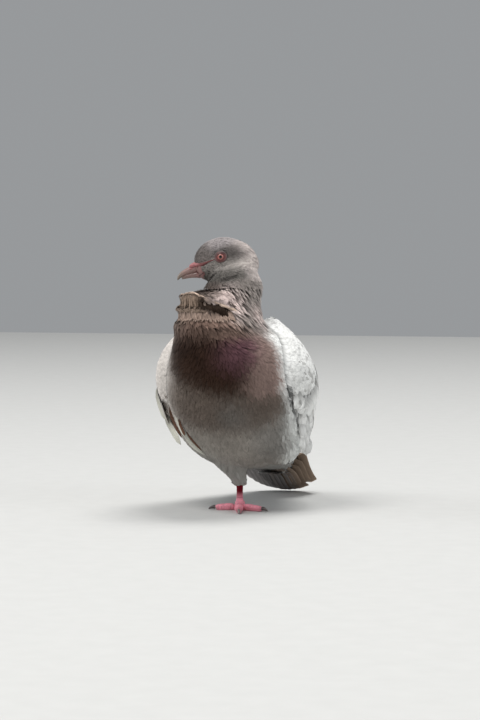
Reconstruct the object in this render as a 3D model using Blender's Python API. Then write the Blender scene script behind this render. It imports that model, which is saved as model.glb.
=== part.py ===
"""Feral pigeon, life size, standing on its right leg with its head turned to its right.

Metres, +Z up. The bird faces -Y, its left side is +X. The origin is on the floor under the
ball of the standing foot. The body is one closed form, made of lofts along the spine and the
head, which thin cuts then part into head, neck, breast, trunk and rump. The wings, the tail,
the thighs, the bill and the toes are lofts of their own, trimmed where they meet the body.
"""

import math

import bmesh
import bpy
from mathutils import Matrix, Vector

# ---------------------------------------------------------------- driving dimensions
MM = 0.001
GAP = 0.3 * MM                  # clearance between neighbouring solids
TRIM = 0.5 * MM                 # clearance cut where a limb or feather part meets the body

BODY_X = -2.0 * MM              # the trunk's middle plane, beside the standing foot
BODY_Y = -20.0 * MM             # the body's shift that brings its weight over the foot
BODY_POWER = 2.15               # roundness of the body's sections (2 is an ellipse)
BODY_SIDES = 32
BODY_STEPS = (3, 3, 3, 3, 3, 3, 3, 4, 5, 5, 3)      # rings from each station to the next

# Stations of the trunk and neck, in millimetres before BODY_X and BODY_Y:
# belly (y, z), back (y, z), half width, sideways shift, turn of the section in degrees
TRUNK_STATIONS = (
    (130, 19.5, 132, 26, 15, 6, 0),     # tips of the tail's coverts
    (104, 26, 115, 48, 25, 4, 0),       # root of the tail feathers
    (72, 29, 95, 77, 37, 2, 0),         # vent and rump
    (38, 31, 78, 102, 46, 1, 0),        # lower belly
    (4, 39, 60, 123, 52, 0, 0),         # belly
    (-27, 58, 44, 136, 53, 0, 0),       # lower breast
    (-50, 88, 30, 143, 49, 0, 0),       # breast
    (-60, 119, 20, 149, 42, 0, 0),      # crop
    (-54, 143, 13, 155, 32, -3, 10),    # base of the neck
    (-40, 160, 11, 166, 24.5, 0, 34),   # neck
    (-34, 177, 13, 183, 18, 3, 66),     # throat
    (-24, 193, 3, 200, 13, 3.5, 77),    # inside the head
)

# The ruff: throat feathers that stand out in ledges on the right and front of the neck.
RUFF_LEDGES = ((173.5, 19.5), (164, 17.0), (153.5, 9.5), (144, 2.5))    # lip height, reach
RUFF_RISE = 2.8 * MM            # a ledge's upper side
RUFF_FALL = 15.0 * MM           # and the slope under its lip
RUFF_HEADING = 204              # degrees anticlockwise from +X

HEAD_TURN = 77                  # degrees to the bird's right
HEAD_PITCH = 18                 # degrees that the bill points down
HEAD_CENTRE = Vector((-9.9, -25.1, 203.5)) * MM     # middle of the head, level with the eyes
HEAD_SIDES = 20
HEAD_STEPS = 2
HEAD_POWER = 2.1

# Stations of the head along its own axis: forward, crown, jaw, half width (mm)
HEAD_STATIONS = (
    (20.6, 4.0, -10.0, 3.8),
    (18.4, 8.2, -13.2, 6.0),
    (13.0, 12.4, -16.0, 8.7),
    (6.0, 14.8, -17.2, 11.2),
    (-1.5, 15.1, -18.0, 12.7),
    (-9.0, 13.2, -19.0, 13.3),
    (-16.0, 8.9, -19.5, 13.0),
    (-21.5, 4.0, -19.5, 11.6),
    (-25.4, -2.0, -18.0, 8.6),
    (-27.2, -8.0, -14.5, 3.5),
)

EYE_RADIUS = 5.0 * MM
EYE_AT = Vector((0.0, 8.7, 0.0)) * MM           # forward, sideways, up in the head

# Bill stations along the head's axis: forward, upper side, lower side, half width (mm)
UPPER_BILL = (
    (15.5, 1.6, -6.9, 4.3),
    (20.5, 1.0, -6.7, 3.6),
    (26.0, 0.1, -6.3, 2.8),
    (31.0, -0.9, -6.1, 2.2),
    (35.0, -2.4, -6.4, 1.6),
    (37.4, -4.4, -7.3, 0.9),
    (38.2, -6.2, -7.7, 0.35),
)
LOWER_BILL = (
    (15.0, -7.5, -14.0, 4.0),
    (20.0, -7.1, -11.6, 3.2),
    (26.0, -6.7, -9.3, 2.3),
    (31.0, -6.5, -8.3, 1.6),
    (34.4, -6.8, -7.9, 0.7),
)
CERE_AT = Vector((21.6, 0.0, -0.2)) * MM        # the swelling over the nostrils
CERE_SIZE = Vector((4.9, 3.6, 2.6)) * MM

# Left wing, from the shoulder to the tip; x is outward from the trunk's middle plane (mm):
# upper edge (x, y, z), fullest line (x, y, z), lower edge (x, y, z), thickness
WING_STATIONS = (
    ((16, -16, 142), (31, -28, 119), (36, -22, 93), 8),
    ((24, 10, 154), (55, -9, 125), (50, -6, 88), 15),
    ((31, 34, 151), (63, 19, 115), (55, 20, 78), 17),
    ((28, 58, 129), (57, 47, 98), (48, 48, 66), 15),
    ((19, 84, 98), (46, 79, 73), (42, 80, 50), 11),
    ((14, 112, 70), (33, 111, 59), (30, 112, 46), 6),
    ((9, 138, 46), (21, 138, 40), (21, 139, 33), 3),
    ((10, 150, 35), (14, 151, 33.5), (15, 152, 32), 1.2),
)
WING_STEPS = 3
WING_SIDES = 8                  # points across the outer face
WING_DROOP = 9.0 * MM           # the right wing hangs this much lower along its lower edge
FLIGHT_FROM_Y = 66 * MM         # the cut between the coverts and the flight feathers
FLIGHT_LEAN = 38                # degrees that the cut leans

# Tail: middle (x, y, z), half width, half thickness and sag of its sides (mm)
TAIL_STATIONS = (
    (3.0, 96, 46.0, 24, 6.0, -1.5),
    (4.0, 108, 38.5, 27, 5.0, -2.0),
    (6.0, 124, 28.0, 29.5, 3.6, -3.0),
    (8.0, 142, 16.5, 31, 2.6, -3.0),
    (9.0, 154, 9.5, 31, 2.0, -3.0),
    (9.3, 161, 5.6, 26, 1.6, -2.0),
    (9.5, 165.5, 3.2, 17, 1.3, -0.8),
    (9.5, 167.5, 2.3, 7, 1.0, -0.2),
)
TAIL_STEPS = 2
TAIL_SIDES = 16

# Thighs: middle (x, y, z), half width, half depth (mm)
RIGHT_THIGH = (
    (-20, 8, 66, 20, 27),
    (-15, 5, 47, 17, 21),
    (-7.5, 2, 34.5, 11, 13),
    (-2.0, 0.5, 26.5, 7.0, 7.5),
    (-0.2, 0.0, 20.9, 5.0, 5.2),
)
LEFT_THIGH_AT = Vector((28, 12, 61)) * MM       # the leg that is drawn up into the belly
LEFT_THIGH_SIZE = Vector((19.5, 36, 25)) * MM

SHANK_TOP = 20.6 * MM
SHANK_WIDTH = 5.6 * MM          # across, just above the toes
SHANK_DEPTH = 5.0 * MM
PAD_RADIUS = 4.9 * MM           # ball of the foot
PAD_HEIGHT = 7.6 * MM

# Toes of the standing foot: name, heading in degrees from +X, length, root and tip radius
TOES = (
    ("toe_inner", 337, 21.5, 2.9, 2.2),
    ("toe_middle", 281, 27.0, 3.0, 2.3),
    ("toe_outer", 193, 19.5, 2.9, 2.3),
    ("toe_hind", 97, 12.5, 2.7, 2.1),
)
TOE_JOINTS = 3                  # swellings along a toe
CLAW_LENGTH = 6.8 * MM
CLAW_RADIUS = 1.35 * MM

# Cuts across the body: a point (y, z) and the lean of the cut's normal in degrees
CUT_RUMP = (72, 60, 38)
CUT_BREAST = (4, 92, 52)
CUT_NECK = (-22, 146, 72)
CUT_THROAT = Vector((16.5, 0.0, -20.0)) * MM    # where the head's cut meets the throat
CUT_HEAD_LEAN = -13             # degrees that it leans from the head's own level


# ---------------------------------------------------------------- helpers
def clear_scene():
    for item in list(bpy.data.objects):
        bpy.data.objects.remove(item, do_unlink=True)


def collection(name):
    group = bpy.data.collections.new(name)
    bpy.context.scene.collection.children.link(group)
    return group


def material(name, colour, roughness):
    """A plain Principled material."""
    made = bpy.data.materials.new(name)
    made.use_nodes = True
    shader = made.node_tree.nodes["Principled BSDF"]
    shader.inputs["Base Color"].default_value = (*colour, 1.0)
    shader.inputs["Roughness"].default_value = roughness
    return made


def smooth_rows(rows, steps):
    """Rows of numbers with further rows between them, read from a Catmull-Rom curve."""
    out = []
    last = len(rows) - 1
    for i in range(last):
        a, b = rows[max(i - 1, 0)], rows[i]
        c, d = rows[i + 1], rows[min(i + 2, last)]
        count = steps if isinstance(steps, int) else steps[i]
        for step in range(count):
            t = step / count
            out.append([
                0.5 * (2 * q + (r - p) * t + (2 * p - 5 * q + 4 * r - s) * t ** 2
                       + (3 * q - p - 3 * r + s) * t ** 3)
                for p, q, r, s in zip(a, b, c, d)])
    out.append(list(rows[last]))
    return out


def flat(station):
    """One row of numbers from a station that holds tuples."""
    row = []
    for value in station:
        row.extend(value if isinstance(value, tuple) else (value,))
    return row


def oval(count, power):
    """Points of a superellipse of half size 1, anticlockwise from +X."""
    for k in range(count):
        angle = 2 * math.pi * k / count
        c, s = math.cos(angle), math.sin(angle)
        yield (math.copysign(abs(c) ** (2 / power), c), math.copysign(abs(s) ** (2 / power), s))


def loft(rings):
    """A closed mesh through rings of equally many points, capped at both ends."""
    bm = bmesh.new()
    made = [[bm.verts.new(point) for point in ring] for ring in rings]
    count = len(made[0])
    for low, high in zip(made, made[1:]):
        for k in range(count):
            n = (k + 1) % count
            bm.faces.new((low[k], low[n], high[n], high[k]))
    bm.faces.new(reversed(made[0]))
    bm.faces.new(made[-1])
    bmesh.ops.recalc_face_normals(bm, faces=bm.faces)
    if bm.calc_volume(signed=True) < 0:
        bmesh.ops.reverse_faces(bm, faces=bm.faces)
    return bm


def add_object(name, bm, group, look=None, smooth=True):
    """An object of a bmesh, which is freed."""
    mesh = bpy.data.meshes.new(name)
    bm.to_mesh(mesh)
    bm.free()
    if smooth:
        mesh.shade_smooth()
    if look is not None:
        mesh.materials.append(look)
    made = bpy.data.objects.new(name, mesh)
    group.objects.link(made)
    return made


def cutter(name, bm):
    """A hidden guide for a Boolean."""
    made = add_object(name, bm, CUTTERS)
    made.hide_render = True
    made.display_type = 'WIRE'
    return made


def boolean(target, other, operation):
    """Apply one exact Boolean."""
    step = target.modifiers.new(operation.lower(), 'BOOLEAN')
    step.operation = operation
    step.solver = 'EXACT'
    step.object = other
    bpy.context.view_layer.update()
    shape = bpy.data.meshes.new_from_object(
        target.evaluated_get(bpy.context.evaluated_depsgraph_get()))
    target.modifiers.remove(step)
    old = target.data
    target.data = shape
    bpy.data.meshes.remove(old)


def swollen(source, name, amount):
    """A guide with the source's shape, larger by an even amount all round."""
    bm = bmesh.new()
    bm.from_mesh(source.data)
    bm.normal_update()
    for vert, normal in [(vert, vert.normal.copy()) for vert in bm.verts]:
        vert.co += normal * amount
    return cutter(name, bm)


def keep_side(bm, point, normal):
    """Cut a closed mesh with a plane and keep the side that the normal points to."""
    geometry = bm.verts[:] + bm.edges[:] + bm.faces[:]
    bmesh.ops.bisect_plane(
        bm, geom=geometry, dist=1e-7, plane_co=point, plane_no=normal, clear_inner=True)
    rim = [edge for edge in bm.edges if edge.is_boundary]
    bmesh.ops.holes_fill(bm, edges=rim, sides=0)


def keep_largest(target):
    """Drop loose crumbs that a Boolean leaves beside the main body."""
    bm = bmesh.new()
    bm.from_mesh(target.data)
    left = set(bm.verts)
    islands = []
    while left:
        stack = [left.pop()]
        island = set(stack)
        while stack:
            for edge in stack.pop().link_edges:
                for vert in edge.verts:
                    if vert in left:
                        left.remove(vert)
                        island.add(vert)
                        stack.append(vert)
        islands.append(island)
    islands.sort(key=len)
    for island in islands[:-1]:
        bmesh.ops.delete(bm, geom=list(island), context='VERTS')
    bm.to_mesh(target.data)
    bm.free()


def body_shift(point):
    return point + Vector((BODY_X, BODY_Y, 0))


# ---------------------------------------------------------------- body
def ruff_push(point, centre):
    """How far the ruff stands out at a point of the neck."""
    outward = (point - centre).to_2d()
    if outward.length < 1e-6:
        return Vector()
    outward.normalize()
    heading = math.radians(RUFF_HEADING)
    facing = outward.dot(Vector((math.cos(heading), math.sin(heading))))
    window = max(0.0, min(1.0, (facing - 0.1) / 0.6))
    reach = 0.0
    for lip, length in RUFF_LEDGES:
        above = point.z - lip * MM
        fade = 1 - above / RUFF_RISE if above > 0 else 1 + above / RUFF_FALL
        reach = max(reach, length * MM * max(0.0, fade))
    return outward.to_3d() * reach * window


def trunk_rings():
    """Sections of the trunk and neck, from the tail's root to inside the head."""
    rings = []
    for row in smooth_rows(TRUNK_STATIONS, BODY_STEPS):
        belly = Vector((0, row[0], row[1])) * MM
        back = Vector((0, row[2], row[3])) * MM
        width = row[4] * MM
        centre = (belly + back) / 2 + Vector((row[5] * MM, 0, 0))
        turn = Matrix.Rotation(math.radians(-row[6]), 3, 'Z')
        ring = []
        for across, up in oval(BODY_SIDES, BODY_POWER):
            offset = Vector((across * width, 0, 0)) + (back - belly) / 2 * up
            point = centre + turn @ offset
            ring.append(body_shift(point + ruff_push(point, centre)))
        rings.append(ring)
    return rings


def head_frame():
    """Matrix from the head's forward, left and up to the world."""
    turn = Matrix.Rotation(math.radians(-HEAD_TURN), 4, 'Z')
    pitch = Matrix.Rotation(math.radians(HEAD_PITCH), 4, 'X')
    axes = Matrix(((0, 1, 0, 0), (-1, 0, 0, 0), (0, 0, 1, 0), (0, 0, 0, 1)))
    return Matrix.Translation(HEAD_CENTRE) @ turn @ pitch @ axes


def stations_to_rings(stations, steps, sides, power, frame):
    """Oval sections across the head's axis."""
    rings = []
    for forward, top, bottom, width in smooth_rows(stations, steps):
        middle, half = (top + bottom) / 2, (top - bottom) / 2
        rings.append([
            frame @ (Vector((forward, across * width, middle + up * half)) * MM)
            for across, up in oval(sides, power)])
    return rings


def body_plane(cut):
    """Point and normal of a cut across the body, the normal pointing to the head."""
    y, z, lean = cut
    point = body_shift(Vector((0, y, z)) * MM)
    angle = math.radians(lean)
    return point, Vector((0, -math.cos(angle), math.sin(angle)))


def head_plane(frame):
    """The cut between head and neck, from under the jaw to the nape."""
    point = frame @ CUT_THROAT
    angle = math.radians(CUT_HEAD_LEAN)
    normal = frame.to_3x3() @ Vector((math.sin(angle), 0, math.cos(angle)))
    return point, normal


def part_body(whole, cuts, names, looks, group):
    """Part the whole body along the cuts, listed from the tail to the head."""
    made = []
    for i, name in enumerate(names):
        bm = bmesh.new()
        bm.from_mesh(whole.data)
        if i > 0:
            point, normal = cuts[i - 1]
            keep_side(bm, point + normal * GAP / 2, normal)
        if i < len(cuts):
            point, normal = cuts[i]
            keep_side(bm, point - normal * GAP / 2, -normal)
        made.append(add_object(name, bm, group, looks[i]))
        keep_largest(made[-1])
    return made


# ---------------------------------------------------------------- head
def sphere(centre, size, frame, segments, rings):
    bm = bmesh.new()
    bmesh.ops.create_uvsphere(bm, u_segments=segments, v_segments=rings, radius=1.0)
    bm.transform(frame @ Matrix.Translation(centre) @ Matrix.Diagonal((*size, 1)))
    return bm


def make_eyes(frame, head, look, group):
    """Eyeballs in sockets that leave the gap round them."""
    for side, name in ((1, "eye_left"), (-1, "eye_right")):
        at = Vector((EYE_AT.x, EYE_AT.y * side, EYE_AT.z))
        size = Vector((1, 1, 1))
        socket = cutter(name + "_socket", sphere(at, size * (EYE_RADIUS + GAP), frame, 14, 10))
        boolean(head, socket, 'DIFFERENCE')
        add_object(name, sphere(at, size * EYE_RADIUS, frame, 14, 10), group, look)


def make_bill(frame, swollen_body, looks, group):
    """Two mandibles and the cere over the nostrils."""
    upper = add_object("bill_upper", loft(stations_to_rings(UPPER_BILL, 2, 12, 2.0, frame)),
                       group, looks["bill"])
    lower = add_object("bill_lower", loft(stations_to_rings(LOWER_BILL, 2, 10, 2.0, frame)),
                       group, looks["bill"])
    boolean(upper, swollen_body, 'DIFFERENCE')
    boolean(lower, swollen_body, 'DIFFERENCE')
    bill_guide = swollen(upper, "bill_guide", GAP)
    cere = add_object("cere", sphere(CERE_AT, CERE_SIZE, frame, 12, 8), group, looks["cere"])
    boolean(cere, swollen_body, 'DIFFERENCE')
    boolean(cere, bill_guide, 'DIFFERENCE')
    for piece in (upper, lower, cere):
        keep_largest(piece)


# ---------------------------------------------------------------- wings and tail
def wing_rings(side, droop):
    """Sections of a folded wing: an outer arc, and an inner arc that closes on the body."""
    rings = []
    rows = smooth_rows([flat(station) for station in WING_STATIONS], WING_STEPS)
    for row in rows:
        upper, fullest, lower = (Vector(row[k:k + 3]) * MM for k in (0, 3, 6))
        thickness = row[9] * MM
        reach = max(0.0, min(1.0, (lower.y + 20 * MM) / (60 * MM)))
        lower.z -= droop * reach * (1 - 0.7 * max(0.0, (lower.y - 0.08) / 0.07))
        fullest.z -= droop * reach * 0.4
        control = fullest * 2 - (upper + lower) / 2
        outer, inner = [], []
        for k in range(WING_SIDES):
            v = k / (WING_SIDES - 1)
            point = upper * (1 - v) ** 2 + control * 2 * v * (1 - v) + lower * v ** 2
            outer.append(point)
            depth = 0.8 * MM + thickness * math.sin(math.pi * v) ** 0.6
            inner.append(point - Vector((depth, 0, 0)))
        ring = outer + inner[::-1]
        rings.append([body_shift(Vector((side * p.x, p.y, p.z))) for p in ring])
    return rings


def make_wing(side, name, droop, guides, looks, group):
    """A folded wing in two solids: the coverts, and the flight feathers behind them."""
    point = body_shift(Vector((0, FLIGHT_FROM_Y, 70 * MM)))
    angle = math.radians(FLIGHT_LEAN)
    normal = Vector((0, math.cos(angle), -math.sin(angle)))
    for part, facing in (("coverts", -1), ("flight", 1)):
        bm = loft(wing_rings(side, droop))
        bmesh.ops.triangulate(bm, faces=bm.faces)
        keep_side(bm, point + normal * facing * GAP / 2, normal * facing)
        made = add_object(f"{name}_{part}", bm, group, looks["wing"])
        for guide in guides:
            boolean(made, guide, 'DIFFERENCE')
        keep_largest(made)


def tail_rings():
    rings = []
    rows = smooth_rows(TAIL_STATIONS, TAIL_STEPS)
    for x, y, z, width, thickness, sag in rows:
        ring = []
        for across, up in oval(TAIL_SIDES, 2.4):
            drop = sag * across * across
            ring.append(Vector((x + across * width, y + 0.45 * up * thickness,
                                z + up * thickness - drop)) * MM)
        rings.append([body_shift(point) for point in ring])
    return rings


# ---------------------------------------------------------------- legs
def path_rings(path, sizes, sides, floor=None):
    """Round sections across a path; points below the floor are laid on it."""
    rings = []
    for i, point in enumerate(path):
        ahead = path[min(i + 1, len(path) - 1)] - path[max(i - 1, 0)]
        side = ahead.cross(Vector((0, 0, 1)))
        if side.length < 1e-9:
            side = Vector((1, 0, 0))
        side.normalize()
        up = side.cross(ahead).normalized()
        wide, deep = sizes[i]
        ring = []
        for across, rise in oval(sides, 2.0):
            made = point + side * across * wide + up * rise * deep
            if floor is not None:
                made.z = max(made.z, floor)
            ring.append(made)
        rings.append(ring)
    return rings


def make_thighs(swollen_body, looks, group):
    rings = []
    for x, y, z, width, depth in smooth_rows(RIGHT_THIGH, 2):
        rings.append([
            Vector((x + across * width, y + up * depth, z)) * MM
            for across, up in oval(18, 2.0)])
    right = add_object("thigh_right", loft(rings), group, looks["down"])
    left = add_object("thigh_left", sphere(LEFT_THIGH_AT, LEFT_THIGH_SIZE, Matrix(), 20, 12),
                      group, looks["down"])
    for thigh in (right, left):
        boolean(thigh, swollen_body, 'DIFFERENCE')
        keep_largest(thigh)


def make_foot(looks, group):
    """Shank, ball of the foot, and four toes with their claws, flat on the floor."""
    rise = SHANK_TOP - PAD_HEIGHT - GAP
    path = [Vector((0, 0, PAD_HEIGHT + GAP + rise * t / 5)) for t in range(6)]
    sizes = []
    for t in range(6):
        waist = 1 - 0.14 * math.sin(math.pi * t / 5)
        sizes.append((SHANK_WIDTH / 2 * waist, SHANK_DEPTH / 2 * waist))
    add_object("shank_right", loft(path_rings(path, sizes, 12)), group, looks["leg"])

    levels = 5
    path, sizes = [], []
    for t in range(levels + 1):
        path.append(Vector((0, 0, PAD_HEIGHT * t / levels)))
        swell = PAD_RADIUS * (1 - 0.42 * (t / levels) ** 2)
        sizes.append((swell, swell))
    add_object("foot_right", loft(path_rings(path, sizes, 16)), group, looks["leg"])

    for name, heading, length, root, tip in TOES:
        angle = math.radians(heading)
        ahead = Vector((math.cos(angle), math.sin(angle), 0))
        start = PAD_RADIUS + GAP
        stations = 8
        path, sizes = [], []
        for t in range(stations + 1):
            u = t / stations
            radius = root + (tip - root) * u
            swell = 1 + 0.07 * math.cos(2 * math.pi * TOE_JOINTS * u)
            end = {0: 0.74, stations: 0.62}.get(t, 1.0)
            path.append(ahead * (start + (length * MM - start) * u)
                        + Vector((0, 0, radius * 0.9 * MM)))
            sizes.append((radius * MM * swell * end, radius * MM * swell * end))
        add_object(name, loft(path_rings(path, sizes, 9, 0.0)), group, looks["leg"])

        path, sizes = [], []
        for t in range(6):
            u = t / 5
            bend = math.radians(78) * u
            reach = CLAW_LENGTH * 0.82 * math.sin(bend)
            drop = (2.4 * MM) * (1 - math.cos(bend))
            path.append(ahead * (length * MM + GAP + reach) + Vector((0, 0, 2.5 * MM - drop)))
            radius = CLAW_RADIUS * (1 - u) ** 0.75 + 0.25 * MM
            sizes.append((radius, radius * 1.15))
        add_object("claw" + name[3:], loft(path_rings(path, sizes, 7, 0.0)), group,
                   looks["claw"])


# ---------------------------------------------------------------- assembly
def main():
    looks = {
        "head": material("head feathers", (0.30, 0.28, 0.27), 0.9),
        "neck": material("neck feathers", (0.30, 0.24, 0.22), 0.85),
        "breast": material("breast feathers", (0.06, 0.035, 0.038), 0.85),
        "down": material("belly feathers", (0.30, 0.29, 0.27), 0.95),
        "wing": material("wing feathers", (0.70, 0.70, 0.68), 0.85),
        "tail": material("tail feathers", (0.09, 0.075, 0.065), 0.8),
        "bill": material("bill horn", (0.30, 0.18, 0.16), 0.5),
        "cere": material("cere skin", (0.45, 0.13, 0.14), 0.6),
        "eye": material("eye", (0.30, 0.10, 0.07), 0.1),
        "leg": material("leg skin", (0.33, 0.03, 0.06), 0.55),
        "claw": material("claw horn", (0.05, 0.025, 0.025), 0.4),
    }
    group = collection("pigeon")
    frame = head_frame()

    whole = cutter("whole_body", loft(trunk_rings()))
    skull = cutter("whole_head", loft(
        stations_to_rings(HEAD_STATIONS, HEAD_STEPS, HEAD_SIDES, HEAD_POWER, frame)))
    boolean(whole, skull, 'UNION')
    body_guide = swollen(whole, "body_guide", TRIM)

    cuts = [body_plane(CUT_RUMP), body_plane(CUT_BREAST), body_plane(CUT_NECK),
            head_plane(frame)]
    names = ("rump", "trunk", "breast", "neck", "head")
    colours = [looks[key] for key in ("down", "down", "breast", "neck", "head")]
    head = part_body(whole, cuts, names, colours, group)[-1]

    make_eyes(frame, head, looks["eye"], group)
    make_bill(frame, body_guide, looks, group)
    tail = add_object("tail", loft(tail_rings()), group, looks["tail"])
    boolean(tail, body_guide, 'DIFFERENCE')
    keep_largest(tail)
    guides = (body_guide, swollen(tail, "tail_guide", TRIM))
    make_wing(1, "wing_left", 0.0, guides, looks, group)
    make_wing(-1, "wing_right", WING_DROOP, guides, looks, group)
    make_thighs(body_guide, looks, group)
    make_foot(looks, group)


clear_scene()
CUTTERS = collection("cutters")
main()
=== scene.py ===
import math

import bmesh
import bpy
import numpy as np
from mathutils import Matrix, Vector
from mathutils.bvhtree import BVHTree


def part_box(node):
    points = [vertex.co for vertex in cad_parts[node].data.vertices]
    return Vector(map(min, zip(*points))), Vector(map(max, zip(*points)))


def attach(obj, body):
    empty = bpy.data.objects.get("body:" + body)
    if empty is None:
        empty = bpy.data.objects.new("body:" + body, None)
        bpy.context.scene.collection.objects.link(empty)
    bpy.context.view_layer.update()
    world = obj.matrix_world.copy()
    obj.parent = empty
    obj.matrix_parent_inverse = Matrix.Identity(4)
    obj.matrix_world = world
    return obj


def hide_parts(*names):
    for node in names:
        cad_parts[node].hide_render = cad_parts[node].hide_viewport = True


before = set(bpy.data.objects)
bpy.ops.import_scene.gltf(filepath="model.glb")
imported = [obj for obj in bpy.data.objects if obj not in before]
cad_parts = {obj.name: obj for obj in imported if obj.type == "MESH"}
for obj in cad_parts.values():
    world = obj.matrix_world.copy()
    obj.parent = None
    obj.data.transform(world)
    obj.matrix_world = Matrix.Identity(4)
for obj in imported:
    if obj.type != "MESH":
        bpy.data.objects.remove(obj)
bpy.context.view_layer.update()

bl_info = {
    "name": "Feral Pigeon Still",
    "version": (1, 0, 0),
    "blender": (4, 5, 0),
    "location": "3D View > Sidebar > Pigeon",
    "description": "Makes the skin, plumage, bare parts and studio of a life-size standing pigeon",
    "category": "Object",
}

MM = 0.001
BODY_NODES = ("head", "neck", "breast", "trunk", "rump", "thigh_left", "thigh_right")
FACE_NODES = ("bill_upper", "bill_lower", "cere", "eye_left", "eye_right")
WING_NODES = {"left": ("wing_left_coverts", "wing_left_flight"),
              "right": ("wing_right_coverts", "wing_right_flight")}
TUFT_PATCH = 0.003
HEAD_PITCH = math.radians(18)


def middle(node):
    """The centre of a frame solid's box."""
    low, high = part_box(node)
    return (Vector(low) + Vector(high)) / 2


def head_frame():
    """A matrix from (forward, left, up) in metres, measured from between the eyes, to the room."""
    left_eye, right_eye = middle("eye_left"), middle("eye_right")
    left = (left_eye - right_eye).normalized()
    level = left.cross(Vector((0, 0, 1))).normalized()
    forward = level * math.cos(HEAD_PITCH) - Vector((0, 0, math.sin(HEAD_PITCH)))
    up = forward.cross(left)
    matrix = Matrix.Identity(4)
    for column, axis in enumerate((forward, left, up, (left_eye + right_eye) / 2)):
        for row in range(3):
            matrix[row][column] = axis[row]
    return matrix


BODY_MIDDLE = -2 * MM
HEAD = head_frame()
TO_HEAD = HEAD.inverted()
AHEAD, LEFT, ABOVE = (way.copy() for way in HEAD.to_3x3().col)
NECK_AXIS = Vector((-1, -33, 0)) * MM
RUFF_HEADING = math.radians(204)


def tone(red, green, blue):
    """A colour written in display values, as the linear colour that the shaders use."""
    return tuple(((c / 255 + 0.055) / 1.055) ** 2.4 if c > 10 else c / 255 / 12.92
                 for c in (red, green, blue))


def unit(rows):
    """Rows of directions, each made one long."""
    return rows / np.linalg.norm(rows, axis=-1, keepdims=True)


def flattened(lies, ways, share=1.0):
    """Directions turned to run along a surface that faces ways, or by a share of that."""
    return unit(lies - share * ways * (lies * ways).sum(axis=-1, keepdims=True))


def headings(points):
    """The way along each line of points, at each of its points."""
    steps = np.diff(points, axis=1)
    return unit(np.concatenate((steps, steps[:, -1:]), axis=1))


def measured(line):
    """A line given in millimetres, in metres, and how far along it each of its points is."""
    line = np.array(line) * MM
    spans = np.linalg.norm(np.diff(line, axis=0), axis=1)
    return line, np.concatenate(((0,), np.cumsum(spans)))


def along(line, marks, runs):
    """The places at runs on a line whose points are at marks."""
    return np.stack([np.interp(runs, marks, line[:, k]) for k in range(3)], axis=-1)


def evened(line, rounds):
    """A line whose points, but for its ends, are evened with their neighbours that many times."""
    line = line.copy()
    for _ in range(rounds):
        line[1:-1] = (line[:-2] + line[1:-1] * 2 + line[2:]) / 4
    return line


def smooth(low, high, value):
    """0 below low, 1 above high, with a soft ramp between. Works on arrays."""
    t = np.clip((value - low) / (high - low), 0, 1)
    return t * t * (3 - 2 * t)


# ---------------------------------------------------------------- sizes and colours


def hue(name, description, value):
    """A colour that a user can change, given in display values."""
    return bpy.props.FloatVectorProperty(name=name, description=description, subtype="COLOR",
                                         size=3, min=0, max=1, default=tone(*value))


def length(name, description, value):
    """A length that a user can change, given in millimetres."""
    return bpy.props.FloatProperty(name=name, description=description, default=value * MM,
                                   unit="LENGTH", min=0.01 * MM, precision=5)


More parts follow.
